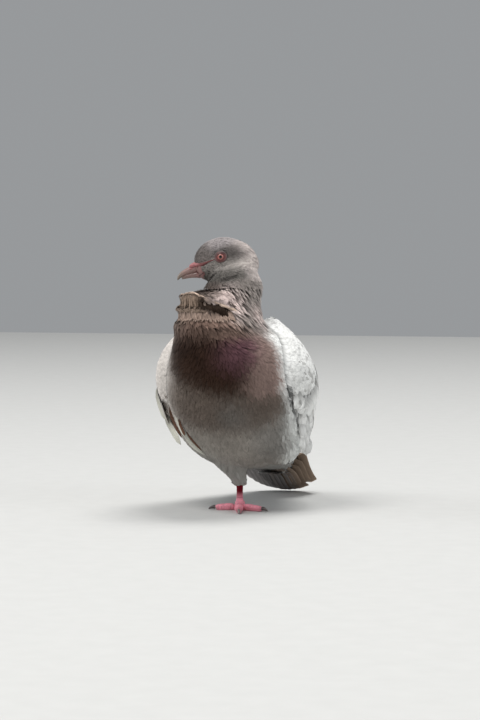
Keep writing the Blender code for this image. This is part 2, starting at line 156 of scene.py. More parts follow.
class PigeonMarkings(bpy.types.PropertyGroup):
    """Colours of the plumage, which the skin under it shares"""
    crown: hue("Crown", "Top of the head", (164, 157, 157))
    forehead: hue("Forehead", "Above the bill", (117, 110, 107))
    cheek: hue("Cheek", "Below the eye", (161, 155, 150))
    temple: hue("Temple", "Behind the eye", (91, 86, 84))
    jaw: hue("Jaw", "Lower face and chin", (109, 105, 101))
    nape: hue("Nape", "Back of the head and neck", (187, 177, 173))
    neck: hue("Neck", "Side of the neck", (129, 122, 117))
    throat: hue("Throat", "Front of the neck", (106, 94, 88))
    ruff: hue("Ruff", "Raised collar of the lower neck", (123, 106, 93))
    # Partly painted highlight: the folds' pale edge feathers, lighter also where they catch the
    # light from above.
    ruff_edge_highlight: hue("Ruff, edge", "Pale edges of the collar's folds", (196, 174, 158))
    front: hue("Neck front", "Pale scaly patch under the cheek", (208, 189, 184))
    # Painted light: the band's pale colour lights the strands that the fold above keeps in shadow.
    ruff_band_light: hue("Ruff, band", "Pale strands under the collar", (152, 132, 120))
    # Painted shade: the hollow's dark colour stands in for the shadow under the collar's fold.
    ruff_hollow_shade: hue("Ruff, hollow", "Deep part under the fold", (39, 29, 22))
    ruff_low: hue("Ruff, low", "Underside of the collar", (94, 77, 69))
    breast: hue("Breast", "Dark middle of the breast", (44, 29, 21))
    # Painted shadow: the breast's darkest part, where the collar shades it.
    breast_collar_shadow: hue("Breast, shade", "Darkest part, under the collar", (25, 12, 8))
    # Partly painted sheen: the breast's violet iridescence, which turns with the view, set as a
    # fixed colour over its mauve.
    breast_sheen: hue("Bloom", "Violet patch on the breast", (98, 68, 76))
    breast_side: hue("Breast, side", "Breast beside the white wing", (140, 119, 112))
    belly: hue("Belly", "Middle of the belly", (94, 84, 77))
    belly_low: hue("Belly, low", "Lowest part of the belly", (145, 139, 132))
    belly_shade: hue("Belly, side", "Shaded side of the belly", (112, 110, 107))
    flank: hue("Flank", "Flank under the white wing", (214, 216, 214))
    thigh: hue("Thigh", "Feathers of the leg", (159, 158, 154))
    vent: hue("Vent", "Feathers under the tail", (150, 148, 144))
    back: hue("Back", "Back and shoulders", (150, 148, 146))
    rump: hue("Rump", "Feathers over the tail", (186, 185, 183))
    white_wing: hue("White wing", "Left wing", (238, 238, 236))
    grey_wing: hue("Grey wing", "Right wing", (213, 206, 200))
    grey_streak: hue("Grey streak", "Odd grey feathers of the left wing", (150, 148, 144))
    hanging_pale: hue("Pale hanging feather", "Loose feathers of the right wing", (198, 196, 185))
    hanging_brown: hue("Brown hanging feather", "Loose feathers of the right wing", (94, 69, 56))
    quill_brown: hue("Brown quill", "Brown flight feathers", (112, 94, 80))
    quill_slate: hue("Slate quill", "Slate flight feathers", (127, 130, 130))
    pupil: hue("Pupil", "Middle of the eye", (18, 12, 12))
    iris_inner: hue("Iris, inner", "Ring round the pupil", (178, 120, 111))
    iris_outer: hue("Iris, outer", "Outer ring", (150, 69, 63))
    eye_rim: hue("Eye rim", "Edge of the eyeball", (60, 34, 32))
    lid: hue("Lid", "Bare skin round the eye", (105, 58, 58))
    lid_inner: hue("Lid, inner", "Wet edge of the lid", (84, 45, 45))
    lid_outer: hue("Lid, outer", "Where the lid meets the feathers", (104, 86, 84))
    bill: hue("Bill", "Sides of the bill", (133, 106, 101))
    bill_base: hue("Bill base", "Bill under the cere", (136, 92, 92))
    bill_tip: hue("Bill tip", "Hooked end of the bill", (122, 110, 100))
    cere: hue("Cere", "Swollen skin over the bill", (158, 99, 101))
    cere_edge: hue("Cere, edge", "Lower edge of the cere", (150, 88, 90))
    strip: hue("Face strip", "Bare skin from bill to eye", (108, 59, 59))
    # Partly painted light and shade: leg and toes are one skin, darker on the shank as painted
    # shade and lighter on the toes as painted light.
    leg: hue("Leg", "Scales of the leg", (105, 4, 22))
    toe: hue("Toe", "Scales of the toes", (229, 150, 164))
    toe_tip: hue("Toe tip", "Last joints of the toes", (150, 74, 84))
    claw: hue("Claw", "Root of the claws", (70, 60, 60))
    claw_tip: hue("Claw tip", "Ends of the claws", (120, 112, 108))
    tail_slate: hue("Slate tail", "Tail feathers of the right half", (120, 116, 115))
    tail_taupe: hue("Taupe tail", "Tail feathers of the left half", (123, 107, 93))


class PigeonSizes(bpy.types.PropertyGroup):
    """Sizes of the coat and the skin"""
    voxel: length("Surface grain", "Edge of the cells that the flesh is made of", 1.3)
    eye_radius: length("Eye radius", "Radius of the eyeball", 5.0)
    iris_radius: length("Iris radius", "Radius of the coloured iris", 2.75)
    face_depth: length("Coat depth, face", "From the feather tips to the skin", 1.1)
    body_depth: length("Coat depth, body", "From the feather tips to the skin", 4.0)


def markings():
    """The colours as they are set now."""
    return bpy.context.scene.pigeon_markings


def sizes():
    """The sizes as they are set now."""
    return bpy.context.scene.pigeon_sizes


# ---------------------------------------------------------------- surfaces


def as_mesh(bm, name="part"):
    """bm as a new mesh; bm is used up."""
    mesh = bpy.data.meshes.new(name)
    bm.to_mesh(mesh)
    bm.free()
    return mesh


def put(name, data):
    """A new object of that data, in the scene."""
    thing = bpy.data.objects.new(name, data)
    bpy.context.scene.collection.objects.link(thing)
    return thing


def pour(bm, whole):
    """Adds bm to the bmesh whole; bm is used up."""
    mesh = as_mesh(bm)
    whole.from_mesh(mesh)
    bpy.data.meshes.remove(mesh)


def relax(bm, verts, rounds):
    """Evens out those corners of bm that many times."""
    for _ in range(rounds):
        bmesh.ops.smooth_vert(bm, verts=verts, factor=0.5,
                              use_axis_x=True, use_axis_y=True, use_axis_z=True)


def welded(names, grow):
    """One bmesh of the named frame solids, each welded and swollen by grow."""
    whole = bmesh.new()
    for name in names:
        part = bmesh.new()
        part.from_mesh(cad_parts[name].data)
        bmesh.ops.remove_doubles(part, verts=part.verts, dist=1e-6)
        part.normal_update()
        for vert, way in [(v, v.normal.copy()) for v in part.verts]:
            vert.co += way * grow
        pour(part, whole)
    return whole


def fused(bm, cell, rounds):
    """bm's solids as one closed even surface of that cell size, relaxed that many times."""
    mesh = as_mesh(bm)
    thing = put("loose", mesh)
    modifier = thing.modifiers.new("Fuse", "REMESH")
    modifier.mode = "VOXEL"
    modifier.voxel_size = cell
    graph = bpy.context.evaluated_depsgraph_get()
    made = bpy.data.meshes.new_from_object(thing.evaluated_get(graph))
    bpy.data.objects.remove(thing)
    bpy.data.meshes.remove(mesh)
    out = bmesh.new()
    out.from_mesh(made)
    bpy.data.meshes.remove(made)
    relax(out, out.verts, rounds)
    out.normal_update()
    return out


def relax_nape(bm, rounds):
    """Evens out the join of the head and the neck, behind and below the eyes."""
    spots = np.array([v.co for v in bm.verts])
    f, _, u = head_places(spots).T
    here = (smooth(6, -4, f) * smooth(-34, -28, u) * smooth(2, -3, u)) > 0.5
    relax(bm, [v for v, inside in zip(bm.verts, here) if inside], rounds)
    bm.normal_update()


class Surface:
    """A closed surface that feathers are laid on."""

    TRIES = 5
    NAPE_ROUNDS = 24

    def __init__(self, names, grow, cell, rounds):
        self.bm = fused(welded(names, grow), cell, rounds)
        if "head" in names:
            relax_nape(self.bm, self.NAPE_ROUNDS)
        self.tree = BVHTree.FromBMesh(self.bm)
        self.bm.verts.ensure_lookup_table()
        spots, ways = [], []
        for face in self.bm.faces:
            at = [v.co for v in face.verts]
            for k in range(1, len(at) - 1):
                spots.append((at[0], at[k], at[k + 1]))
                ways.append(face.normal)
        self.corners = np.array(spots)
        self.ways = np.array(ways)
        edge = self.corners[:, 1:] - self.corners[:, :1]
        self.areas = np.linalg.norm(np.cross(edge[:, 0], edge[:, 1]), axis=1) / 2

    def scatter(self, spacing, wanted, rng):
        """Roots spread evenly, spacing millimetres apart, where wanted(spots, ways) is true."""
        centres = self.corners.mean(axis=1)
        gap = over(spacing, centres) * MM
        near = wanted(centres, self.ways)
        weight = np.where(near, self.areas / gap ** 2, 0)
        count = int(weight.sum() * self.TRIES)
        if count == 0:
            return np.zeros((0, 3)), np.zeros((0, 3))
        chosen = rng.choice(len(weight), count, p=weight / weight.sum())
        a, b = rng.random((2, count))
        flip = a + b > 1
        a[flip], b[flip] = 1 - a[flip], 1 - b[flip]
        corner = self.corners[chosen]
        spots = (corner[:, 0] + (corner[:, 1] - corner[:, 0]) * a[:, None]
                 + (corner[:, 2] - corner[:, 0]) * b[:, None])
        gaps = gap[chosen]
        cell = gap[near].max()
        cells = np.floor(spots / cell).astype(int)
        held, kept = {}, []
        around = [(i, j, k) for i in (-1, 0, 1) for j in (-1, 0, 1) for k in (-1, 0, 1)]
        for n in range(count):
            i, j, k = cells[n]
            spot, least = spots[n], gaps[n] ** 2
            x, y, z = spot
            for di, dj, dk in around:
                for ox, oy, oz in held.get((i + di, j + dj, k + dk), ()):
                    if (ox - x) ** 2 + (oy - y) ** 2 + (oz - z) ** 2 < least:
                        break
                else:
                    continue
                break
            else:
                held.setdefault((i, j, k), []).append((x, y, z))
                kept.append(n)
        return spots[kept], self.ways[chosen[kept]]


KEPT = {}


def once(key, make):
    """What make() gives, made the first time that it is asked for."""
    if key not in KEPT:
        KEPT[key] = make()
    return KEPT[key]


def surface(key):
    """The body, a wing, the tail, or all but the tail, as a Surface."""
    names = {"body": BODY_NODES + FACE_NODES, "tail": ("tail",), **WING_NODES,
             "all": BODY_NODES + WING_NODES["left"] + WING_NODES["right"]}[key]
    overlap, rounds = 0.2 * MM, 14 if key == "all" else 5
    return once(key, lambda: Surface(names, overlap, sizes().voxel, rounds))


def flesh():
    """A tree of the flesh solids and the name of the solid that each of its faces is from."""
    spots, faces, owners = [], [], []
    for name in BODY_NODES + FACE_NODES:
        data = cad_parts[name].data
        first = len(spots)
        spots.extend(v.co.copy() for v in data.vertices)
        faces.extend([first + i for i in p.vertices] for p in data.polygons)
        owners.extend([name] * len(data.polygons))
    return BVHTree.FromPolygons(spots, faces), np.array(owners)


def zones(spots):
    """The name of the flesh solid nearest to each spot."""
    tree, owners = once("flesh", flesh)
    return owners[[tree.find_nearest(Vector(s))[2] for s in spots]]


def feathered_face(spots):
    """True on the head, as far forward as the feathers go beside the bill and under it."""
    names = zones(spots)
    f, _, u = head_places(spots).T
    edge = 18.6 - 2.0 * smooth(-4, -8.5, u) + 2.2 * smooth(-9.5, -13, u)
    beside = np.isin(names, ("head", "bill_upper", "bill_lower")) & (f < edge)
    return np.where(u > 1, names == "head", beside)


# ---------------------------------------------------------------- markings


def head_places(spots):
    """Spots as (forward, left, up) from between the eyes, in millimetres."""
    m = np.array(TO_HEAD)
    return (spots @ m[:3, :3].T + m[:3, 3]) / MM


def soft_noise(spots, scale, seed):
    """A smooth wandering value from -1 to 1 over space."""
    rng = np.random.default_rng(seed)
    total = np.zeros(len(spots))
    for _ in range(6):
        way = rng.normal(size=3)
        way *= rng.uniform(0.6, 1.6) / np.linalg.norm(way)
        total += np.sin(spots @ way / scale * 2 * math.pi + rng.uniform(0, 2 * math.pi))
    return total / 3


def patches():
    """Named plumage patches: colour, centre and reach in millimetres. The first list is measured
    from between the eyes as (forward, left, up), the second in the room."""
    c = markings()
    head = [
        (c.crown, (-2, 0, 14), (11, 12, 5)),
        (c.forehead, (13, 0, 9), (6, 8, 6)),
        (c.cheek, (-3, 12, -7), (12, 6, 4)),
        (c.cheek, (-3, -12, -7), (12, 6, 4)),
        (c.jaw, (8, 0, -15), (10, 14, 6)),
        (c.jaw, (0, 12, -15), (8, 8, 4)),
        (c.jaw, (0, -12, -15), (8, 8, 4)),
        (c.temple, (-10, 11, 1), (7.5, 7, 5.5)),
        (c.temple, (-10, -11, 1), (7.5, 7, 5.5)),
        (c.nape, (-20, 0, 0), (9, 14, 12)),
    ]
    room = [
        (c.neck, (14, -40, 172), (14, 16, 16)),
        (c.nape, (6, -18, 175), (20, 14, 20)),
        (c.throat, (-16, -46, 180), (9, 10, 7)),
        (c.front, (4, -54, 172), (9, 9, 8)),
        (c.front, (20, -40, 163), (4.5, 9, 6)),
        (c.ruff, (-34, -48, 166), (16, 16, 7)),
        (c.ruff_low, (-38, -56, 151), (20, 18, 7)),
        (c.ruff_low, (-6, -70, 153), (18, 14, 6.5)),
        (c.breast, (-30, -72, 135), (26, 22, 15)),
        (c.breast, (2, -78, 121), (20, 18, 13)),
        # Painted shadow of the collar on the top of the breast.
        (c.breast_collar_shadow, (-27, -70, 142), (13, 14, 6)),
        # Painted sheen: the violet iridescence on the breast, as a fixed colour.
        (c.breast_sheen, (12, -73, 134), (11, 16, 9)),
        (c.breast_side, (30, -62, 132), (10, 18, 16)),
        (c.breast_side, (28, -67, 115), (8, 13, 7.5)),
        (c.belly, (-34, -60, 99), (22, 24, 13)),
        (c.belly, (0, -62, 90), (30, 24, 14)),
        (c.belly_shade, (8, -60, 88), (9, 20, 8)),
        (c.belly_low, (-4, -36, 58), (36, 30, 18)),
        (c.thigh, (-20, -16, 50), (20, 20, 18)),
        (c.flank, (49, 6, 62), (8, 34, 22)),
        (c.belly_shade, (30, -36, 62), (12, 20, 14)),
        (c.vent, (0, 44, 38), (34, 26, 20)),
        (c.back, (0, 10, 156), (44, 34, 22)),
        (c.white_wing, (38, -6, 150), (12, 26, 12)),
        (c.back, (0, 44, 122), (34, 26, 22)),
        (c.rump, (4, 84, 80), (30, 30, 26)),
        (c.grey_wing, (-54, 0, 115), (14, 60, 50)),
    ]
    return head, room


# Lines of painted shade where the coat parts or folds and where the left wing stands off the
# flank, and one of painted light (negative depth) on the band under the collar: places in
# millimetres, width and depth.
PAINTED_SHADING_LINES = (
    (((-17, -37, 183.5), (-4, -46, 186.5), (6, -45, 189.5)), 1.3, 0.55),
    (((-3.3, -48, 182.5), (1.5, -48.1, 181.7), (5.8, -49.5, 177.1), (9.9, -49.8, 172.5),
      (13.9, -49.7, 167.8)), 1.0, 0.75),
    (((-20, -55, 176.5), (-12, -61, 174.5), (-6, -61, 172), (0, -58, 170)), 1.2, 0.75),
    (((-16, -65, 168), (-8, -67, 167), (0, -64, 165.3), (5, -60, 163.6)), 3.0, 0.85),
    (((-32, -58, 158.5), (-16, -69, 158), (-4, -68, 158), (5, -62, 158.3)), 2.8, -1.0),
    (((-38, -50, 152), (-24, -66, 152), (-19, -71, 152.2), (-4, -71, 152.7), (10, -62, 154),
      (18, -54, 156)), 1.0, 0.65),
    (((45.8, -40, 104), (47.8, -31, 91), (48.6, -16, 80), (47.5, -4, 72)), 2.7, 0.85),
)


def painted_shading(world):
    """The painted shading at each spot, as a factor on the coat's colour: under 1 near the lines
    of painted shade, over 1 near the line of painted light.
    """
    keep = np.ones(len(world))
    for line, wide, deep in PAINTED_SHADING_LINES:
        near = np.full(len(world), 1e9)
        for start, end in zip(line, line[1:]):
            start, end = np.array(start), np.array(end)
            span = end - start
            t = np.clip(((world - start) @ span) / (span @ span), 0, 1)[:, None]
            near = np.minimum(near, np.linalg.norm(world - start - t * span, axis=1))
        keep *= 1 - deep * np.exp(-(near / wide) ** 2)
    return keep


def white_front(world):
    """1 where the white wing's feathers run on over the side of the breast."""
    edge = -50 + 20 * smooth(112, 84, world[:, 2])
    return (smooth(-10, 8, world[:, 1] - edge) * smooth(18, 26, world[:, 0])
            * smooth(78, 88, world[:, 2]) * smooth(152, 146, world[:, 2]))


def marked(spots):
    """The colour of the plumage at each spot, as rows of red, green and blue."""
    head, room = patches()
    local, world = head_places(spots), spots / MM
    total = np.zeros((len(spots), 3))
    weights = np.full((len(spots), 1), 1e-9)
    near_head = smooth(176, 190, world[:, 2] + 0.35 * np.maximum(0, -world[:, 0] - 12))
    for share, places, rows in ((near_head, local, head), (1 - near_head, world, room)):
        for colour, centre, reach in rows:
            away = (((places - centre) / reach) ** 2).sum(axis=1)
            weight = (share * np.exp(-np.minimum(away, 60)))[:, None] + 1e-12
            total += weight * np.array(colour)
            weights += weight
    colour = total / weights
    white = white_front(world)[:, None]
    colour = colour * (1 - white) + np.array(markings().white_wing) * white
    shift = 1 + 0.1 * soft_noise(spots, 22 * MM, 3) + 0.08 * soft_noise(spots, 6 * MM, 4)
    # The colour is darkened by painted shade along the coat's folds and partings, and lightened by
    # painted light on the band under the collar.
    return np.clip(colour * (shift * painted_shading(world))[:, None], 0, 1)


# ---------------------------------------------------------------- lie of the coat


def lie(spots, ways):
    """The way that the coat lies at each spot, along the surface."""
    local = head_places(spots)
    world = spots / MM
    m = np.array(HEAD)[:3, :3]
    forward, up = m[:, 0], m[:, 2]
    drop = 0.15 + 1.1 * smooth(2, -22, local[:, 0])
    drop += 0.35 * smooth(-4, -14, local[:, 2])
    head = -forward[None, :] - up[None, :] * drop[:, None]
    out = spots - np.array(NECK_AXIS)
    out[:, 2] = 0
    out /= np.linalg.norm(out, axis=1)[:, None] + 1e-9
    round_neck = np.stack((-out[:, 1], out[:, 0], np.zeros(len(spots))), axis=1)
    neck = np.array((0, 0, -1.0)) + 0.55 * round_neck
    body = np.tile(np.array((0, 0.72, -0.7)), (len(spots), 1))
    at_head = smooth(181, 193, world[:, 2] + 0.3 * np.maximum(0, -world[:, 0] - 12))[:, None]
    at_neck = smooth(138, 158, world[:, 2])[:, None]
    way = at_head * head + (1 - at_head) * (at_neck * neck + (1 - at_neck) * body)
    way += np.stack([0.12 * soft_noise(spots, 26 * MM, 7 + k) for k in range(3)], axis=1)
    return flattened(way, ways)


# ---------------------------------------------------------------- feathers


class Vane:
    """A thin closed feather blade to be laid many times. Every corner has a place along the
    blade, a place across it and a side, and the blade's two faces meet at a sharp rim."""

    def __init__(self, across, along, outline, arch=0.2, ridge=1.0):
        bm = bmesh.new()
        bmesh.ops.create_grid(bm, x_segments=across, y_segments=along, size=1)
        for vert in bm.verts:
            u = 1 - (1 - (vert.co.y + 1) / 2) ** 1.5
            v = vert.co.x
            back, wide = outline(u, v)
            vert.co = Vector((v * wide, u - back, 0))
        copy = bmesh.ops.duplicate(bm, geom=bm.verts[:] + bm.edges[:] + bm.faces[:])["geom"]
        under = [g for g in copy if isinstance(g, bmesh.types.BMFace)]
        bmesh.ops.reverse_faces(bm, faces=under)
        below = {v for f in under for v in f.verts}
        for vert in bm.verts:
            if not vert.is_boundary:
                vert.co.z = ridge if abs(vert.co.x) < 0.01 else 1
                vert.co.z *= -1 if vert in below else 1
        bmesh.ops.remove_doubles(bm, verts=bm.verts, dist=1e-5)
        bm.verts.index_update()
        bm.edges.index_update()
        bm.normal_update()
        self.spots = np.array([v.co for v in bm.verts])
        self.edges = np.array([[v.index for v in e.verts] for e in bm.edges])
        self.sharp = np.array([abs(e.verts[0].co.z) + abs(e.verts[1].co.z) < 0.5
                               for e in bm.edges])
        self.loops = np.array([[l.vert.index for l in f.loops] for f in bm.faces])
        self.loop_edges = np.array([[l.edge.index for l in f.loops] for f in bm.faces])
        self.upper = np.repeat([1.0 if f.normal.z > 0 else -1.0 for f in bm.faces], 4)
        self.arch = arch
        bm.free()


def widening(u, root, full, power=0.8):
    """A blade's half width at u, growing from root to 1 at full."""
    return root + (1 - root) * min(1, u / full) ** power


def rounded(root, full, blunt=0.3):
    """An outline with even sides and a full round tip."""
    def outline(u, v):
        wide = widening(u, root, full) * (1 - 0.12 * float(smooth(0.7, 1.0, u)))
        return blunt * float(smooth(0.3, 1.0, u)) * (1 - math.sqrt(1 - 0.96 * v * v)), wide
    return outline


def pointed(root, full):
    """An outline that widens from root to full and narrows to a point."""
    def outline(u, v):
        wide = widening(u, root, full)
        if u > full:
            wide *= 1 - 0.86 * ((u - full) / (1 - full)) ** 1.3
        return max(0.0, u - 0.6) * 0.3 * v * v, wide
    return outline


def quill_tip(root, full, tip, skew=0.0, notches=()):
    """An outline for a flight feather: long and even, with a blunt tip and small splits."""
    def outline(u, v):
        wide = widening(u, root, full, 0.7)
        if u > tip:
            wide *= math.sqrt(max(0.0, 1 - ((u - tip) / (1.0001 - tip)) ** 2)) * 0.8 + 0.2
        for at, side, deep in notches:
            if v * side > 0.5 and abs(u - at) < 0.05:
                wide *= 1 - deep
        return max(0.0, u - tip) * (0.3 * v * v + skew * v), wide
    return outline


# The blades that feathers are laid with: cells across and along, outline, arch and ridge.
BLADES = {
    "small": (2, 3, rounded(0.5, 0.4, 0.36)),
    "slim": (2, 4, pointed(0.5, 0.45)),
    "round": (4, 5, rounded(0.35, 0.45, 0.3), 0.12),
    "broad": (4, 5, rounded(0.4, 0.4, 0.42), 0.12),
    "loose": (2, 5, rounded(0.4, 0.45, 0.2), 0.1),
    "hackle": (2, 5, pointed(0.5, 0.4)),
    "quill": (6, 14, quill_tip(0.35, 0.2, 0.86), 0.1, 3.0),
    "quill_split": (6, 14, quill_tip(0.35, 0.2, 0.84, 0.04, ((0.64, 1, 0.22), (0.8, -1, 0.18))),
                    0.1, 3.0),
    "quill_worn": (6, 14, quill_tip(0.35, 0.2, 0.88, -0.05, ((0.72, -1, 0.25), (0.5, 1, 0.12))),
                   0.1, 3.0),
    "tail": (6, 14, quill_tip(0.4, 0.2, 0.8), 0.1, 3.0),
    "tail_split": (6, 14, quill_tip(0.4, 0.2, 0.79, 0.03, ((0.7, 1, 0.2),)), 0.1, 3.0),
    "covert": (4, 8, quill_tip(0.4, 0.3, 0.74), 0.14, 2.0),
    "covert_split": (4, 8, quill_tip(0.4, 0.3, 0.72, 0.05, ((0.75, 1, 0.25),)), 0.14, 2.0),
}


def blades():
    """The blades by name."""
    return once("blades", lambda: {name: Vane(*recipe) for name, recipe in BLADES.items()})


def lay(tree, roots, ways, lies, lengths, steps, follow, tilt, lift):
    """Lines of points that leave each root and follow the surface, and the surface's way out
    at each point. follow is how closely they keep to a surface that falls away."""
    count = len(roots)
    points = np.zeros((count, steps + 1, 3))
    outs = np.zeros((count, steps + 1, 3))
    for n in range(count):
        at, out = Vector(roots[n]), Vector(ways[n])
        heading = (Vector(lies[n]) + out * float(tilt[n])).normalized()
        step = float(lengths[n]) / steps
        bend = float(follow[n])
        points[n, 0], outs[n, 0] = at, out
        for k in range(1, steps + 1):
            ahead = at + heading * step
            near, normal, _, _ = tree.find_nearest(ahead)
            off = (ahead - near).dot(normal)
            ahead -= normal * off * (bend if off > 0 else 1)
            heading = (ahead - at).normalized()
            out = (out * 0.5 + normal * 0.5)
            out = (out - heading * out.dot(heading)).normalized()
            points[n, k], outs[n, k] = ahead, out
            at = ahead
    rise = np.linspace(0, 1, steps + 1)[None, :, None]
    depth, top = lift
    points += outs * (depth[:, None, None] * (1 - rise) ** 1.3 + top[:, None, None] * rise ** 0.7)
    return points, outs


def feather_mesh(tufts):
    """One mesh of many laid feathers. tufts is a list of (name of the blade, centre lines, the
    ways out along them, half widths, thicknesses, colours, own values, roots)."""
    spots, edges, sharp, loops, loop_edges = [], [], [], [], []
    colours, places, bake, normals = [], [], [], []
    base_vert = base_edge = 0
    for kind, points, outs, half, thick, colour, own, roots in tufts:
        vane = blades()[kind]
        count, steps = points.shape[0], points.shape[1] - 1
        u = np.clip(vane.spots[:, 1], 0, 1) * steps
        low = np.minimum(u.astype(int), steps - 1)
        part = (u - low)[None, :, None]
        at = points[:, low] * (1 - part) + points[:, low + 1] * part
        out = outs[:, low] * (1 - part) + outs[:, low + 1] * part
        side = np.cross(unit(points[:, low + 1] - points[:, low]), out)
        v = vane.spots[None, :, 0, None]
        wide = half[:, None, None]
        place = at + side * v * wide
        place += out * (vane.spots[None, :, 2, None] * thick[:, None, None] / 2
                        - vane.arch * wide * v * v)
        spots.append(place.reshape(-1, 3))
        corner = vane.loops.ravel()
        face_out = (out[:, corner] * vane.upper[None, :, None]
                    + side[:, corner] * (vane.spots[corner, 0] * 0.3)[None, :, None])
        normals.append(face_out.reshape(-1, 3))
        k = len(vane.spots)
        shift = base_vert + np.arange(count)[:, None, None] * k
        loops.append((vane.loops[None] + shift).reshape(-1, 4))
        edge_shift = base_edge + np.arange(count)[:, None, None] * len(vane.edges)
        loop_edges.append((vane.loop_edges[None] + edge_shift).reshape(-1, 4))
        edges.append((vane.edges[None] + shift).reshape(-1, 2))
        sharp.append(np.tile(vane.sharp, count))
        tint = np.concatenate((colour, own[:, None]), axis=1)
        colours.append(np.repeat(tint, k, axis=0))
        flat = vane.spots[vane.loops.ravel()][:, :2]
        flat = np.stack((flat[:, 0] / 2 + 0.5, flat[:, 1]), axis=1)
        places.append(np.tile(flat, (count, 1)))
        spread = (flat[None] - 0.5) * TUFT_PATCH
        bake.append((skin_places(roots)[:, None, :] + spread).reshape(-1, 2))
        base_vert += count * k
        base_edge += count * len(vane.edges)
    spots, loops, loop_edges = map(np.concatenate, (spots, loops, loop_edges))
    edges, sharp, colours = map(np.concatenate, (edges, sharp, colours))
    places, bake = np.concatenate(places), np.concatenate(bake)
    mesh = bpy.data.meshes.new("feathers")
    mesh.vertices.add(len(spots))
    mesh.vertices.foreach_set("co", spots.ravel())
    mesh.edges.add(len(edges))
    mesh.edges.foreach_set("vertices", edges.ravel())
    mesh.loops.add(loops.size)
    mesh.loops.foreach_set("vertex_index", loops.ravel())
    mesh.loops.foreach_set("edge_index", loop_edges.ravel())
    mesh.polygons.add(len(loops))
    mesh.polygons.foreach_set("loop_start", np.arange(0, loops.size, 4))
    for layer, values in (("Vane", places), ("OFBake", bake)):
        uv = mesh.uv_layers.new(name=layer)
        uv.data.foreach_set("uv", values.ravel())
    tint = mesh.attributes.new("Marking", "FLOAT_COLOR", "POINT")
    tint.data.foreach_set("color", colours.ravel())
    rim = mesh.attributes.new("sharp_edge", "BOOLEAN", "EDGE")
    rim.data.foreach_set("value", sharp)
    mesh.polygons.foreach_set("use_smooth", np.ones(len(loops), bool))
    mesh.update()
    mesh.normals_split_custom_set(unit(np.concatenate(normals)))
    return mesh


def piece(name, mesh, material, replaces=()):
    """A finished piece in the scene, riding on the body."""
    mesh.name = name
    mesh.materials.append(material)
    thing = put(name, mesh)
    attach(thing, "root")
    if replaces:
        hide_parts(*replaces)
    return thing


def feathered(name, tufts, slot, label, replaces=(), **finish):
    """A piece of feathers, with a finish of its own."""
    piece(name, feather_mesh(tufts), plumage(label, **finish), replaces)


# ---------------------------------------------------------------- materials


def node(tree, kind, **values):
    """A new node, set out in rows; values set its sockets by name, or its own settings."""
    made = tree.nodes.new(kind)
    row, column = divmod(len(tree.nodes), 8)
    made.location = (column * 180, -row * 260)
    for key, value in values.items():
        if key in made.inputs:
            made.inputs[key].default_value = value
        else:
            setattr(made, key, value)
    return made


def link(source, socket):
    """Joins two sockets of one node tree."""
    source.id_data.links.new(source, socket)


def calc(operation, *values, clamp=False):
    """The outcome of a Math node on sockets and numbers."""
    tree = next(v.id_data for v in values if isinstance(v, bpy.types.NodeSocket))
    made = node(tree, "ShaderNodeMath", operation=operation, use_clamp=clamp)
    for socket, value in zip(made.inputs, values):
        if isinstance(value, bpy.types.NodeSocket):
            link(value, socket)
        else:
            socket.default_value = value
    return made.outputs[0]


def noise(tree, where=None, **values):
    """A Noise Texture's value over the object's own space, or over where."""
    made = node(tree, "ShaderNodeTexNoise", **values)
    if where is None:
        where = node(tree, "ShaderNodeTexCoord").outputs["Object"]
    link(where, made.inputs["Vector"])
    return made.outputs[0]


def new_finish(name, **values):
    """A new material, its node tree, and its shader with those sockets set."""
    material = bpy.data.materials.new(name)
    material.use_nodes = True
    shader = material.node_tree.nodes["Principled BSDF"]
    for key, value in values.items():
        shader.inputs[key.replace("_", " ")].default_value = value
    return material, material.node_tree, shader


def use_group(tree, name, make, **values):
    """A node of the node group of that name, made at its first use, with its values set."""
    made = bpy.data.node_groups.get(name) or make(name)
    placed = node(tree, "ShaderNodeGroup", node_tree=made)
    for key, value in values.items():
        placed.inputs[key.replace("_", " ")].default_value = value
    return placed


def paint(tree, shader, tint, shade, height, strength, deep):
    """Gives the shader the tint times shade, and a relief of deep millimetres from height."""
    colour = node(tree, "ShaderNodeVectorMath", operation="SCALE")
    relief = node(tree, "ShaderNodeBump", Strength=strength, Distance=deep * MM)
    for source, socket in ((tint.outputs["Color"], colour.inputs[0]),
                           (shade, colour.inputs["Scale"]),
                           (colour.outputs[0], shader.inputs["Base Color"]),
                           (height, relief.inputs["Height"]),
                           (relief.outputs[0], shader.inputs["Normal"])):
        link(source, socket)


def group(name, vector, numbers, outputs):
    """An empty shader node group with one vector input, those number inputs and outputs, and
    the sockets inside it."""
    tree = bpy.data.node_groups.new(name, "ShaderNodeTree")
    tree.interface.new_socket(vector, in_out="INPUT", socket_type="NodeSocketVector")
    for label, value in numbers.items():
        tree.interface.new_socket(label, in_out="INPUT",
                                  socket_type="NodeSocketFloat").default_value = value
    for label in outputs:
        tree.interface.new_socket(label, in_out="OUTPUT", socket_type="NodeSocketFloat")
    entry, leave = (tree.nodes.new(kind) for kind in ("NodeGroupInput", "NodeGroupOutput"))
    return tree, entry.outputs, leave.inputs


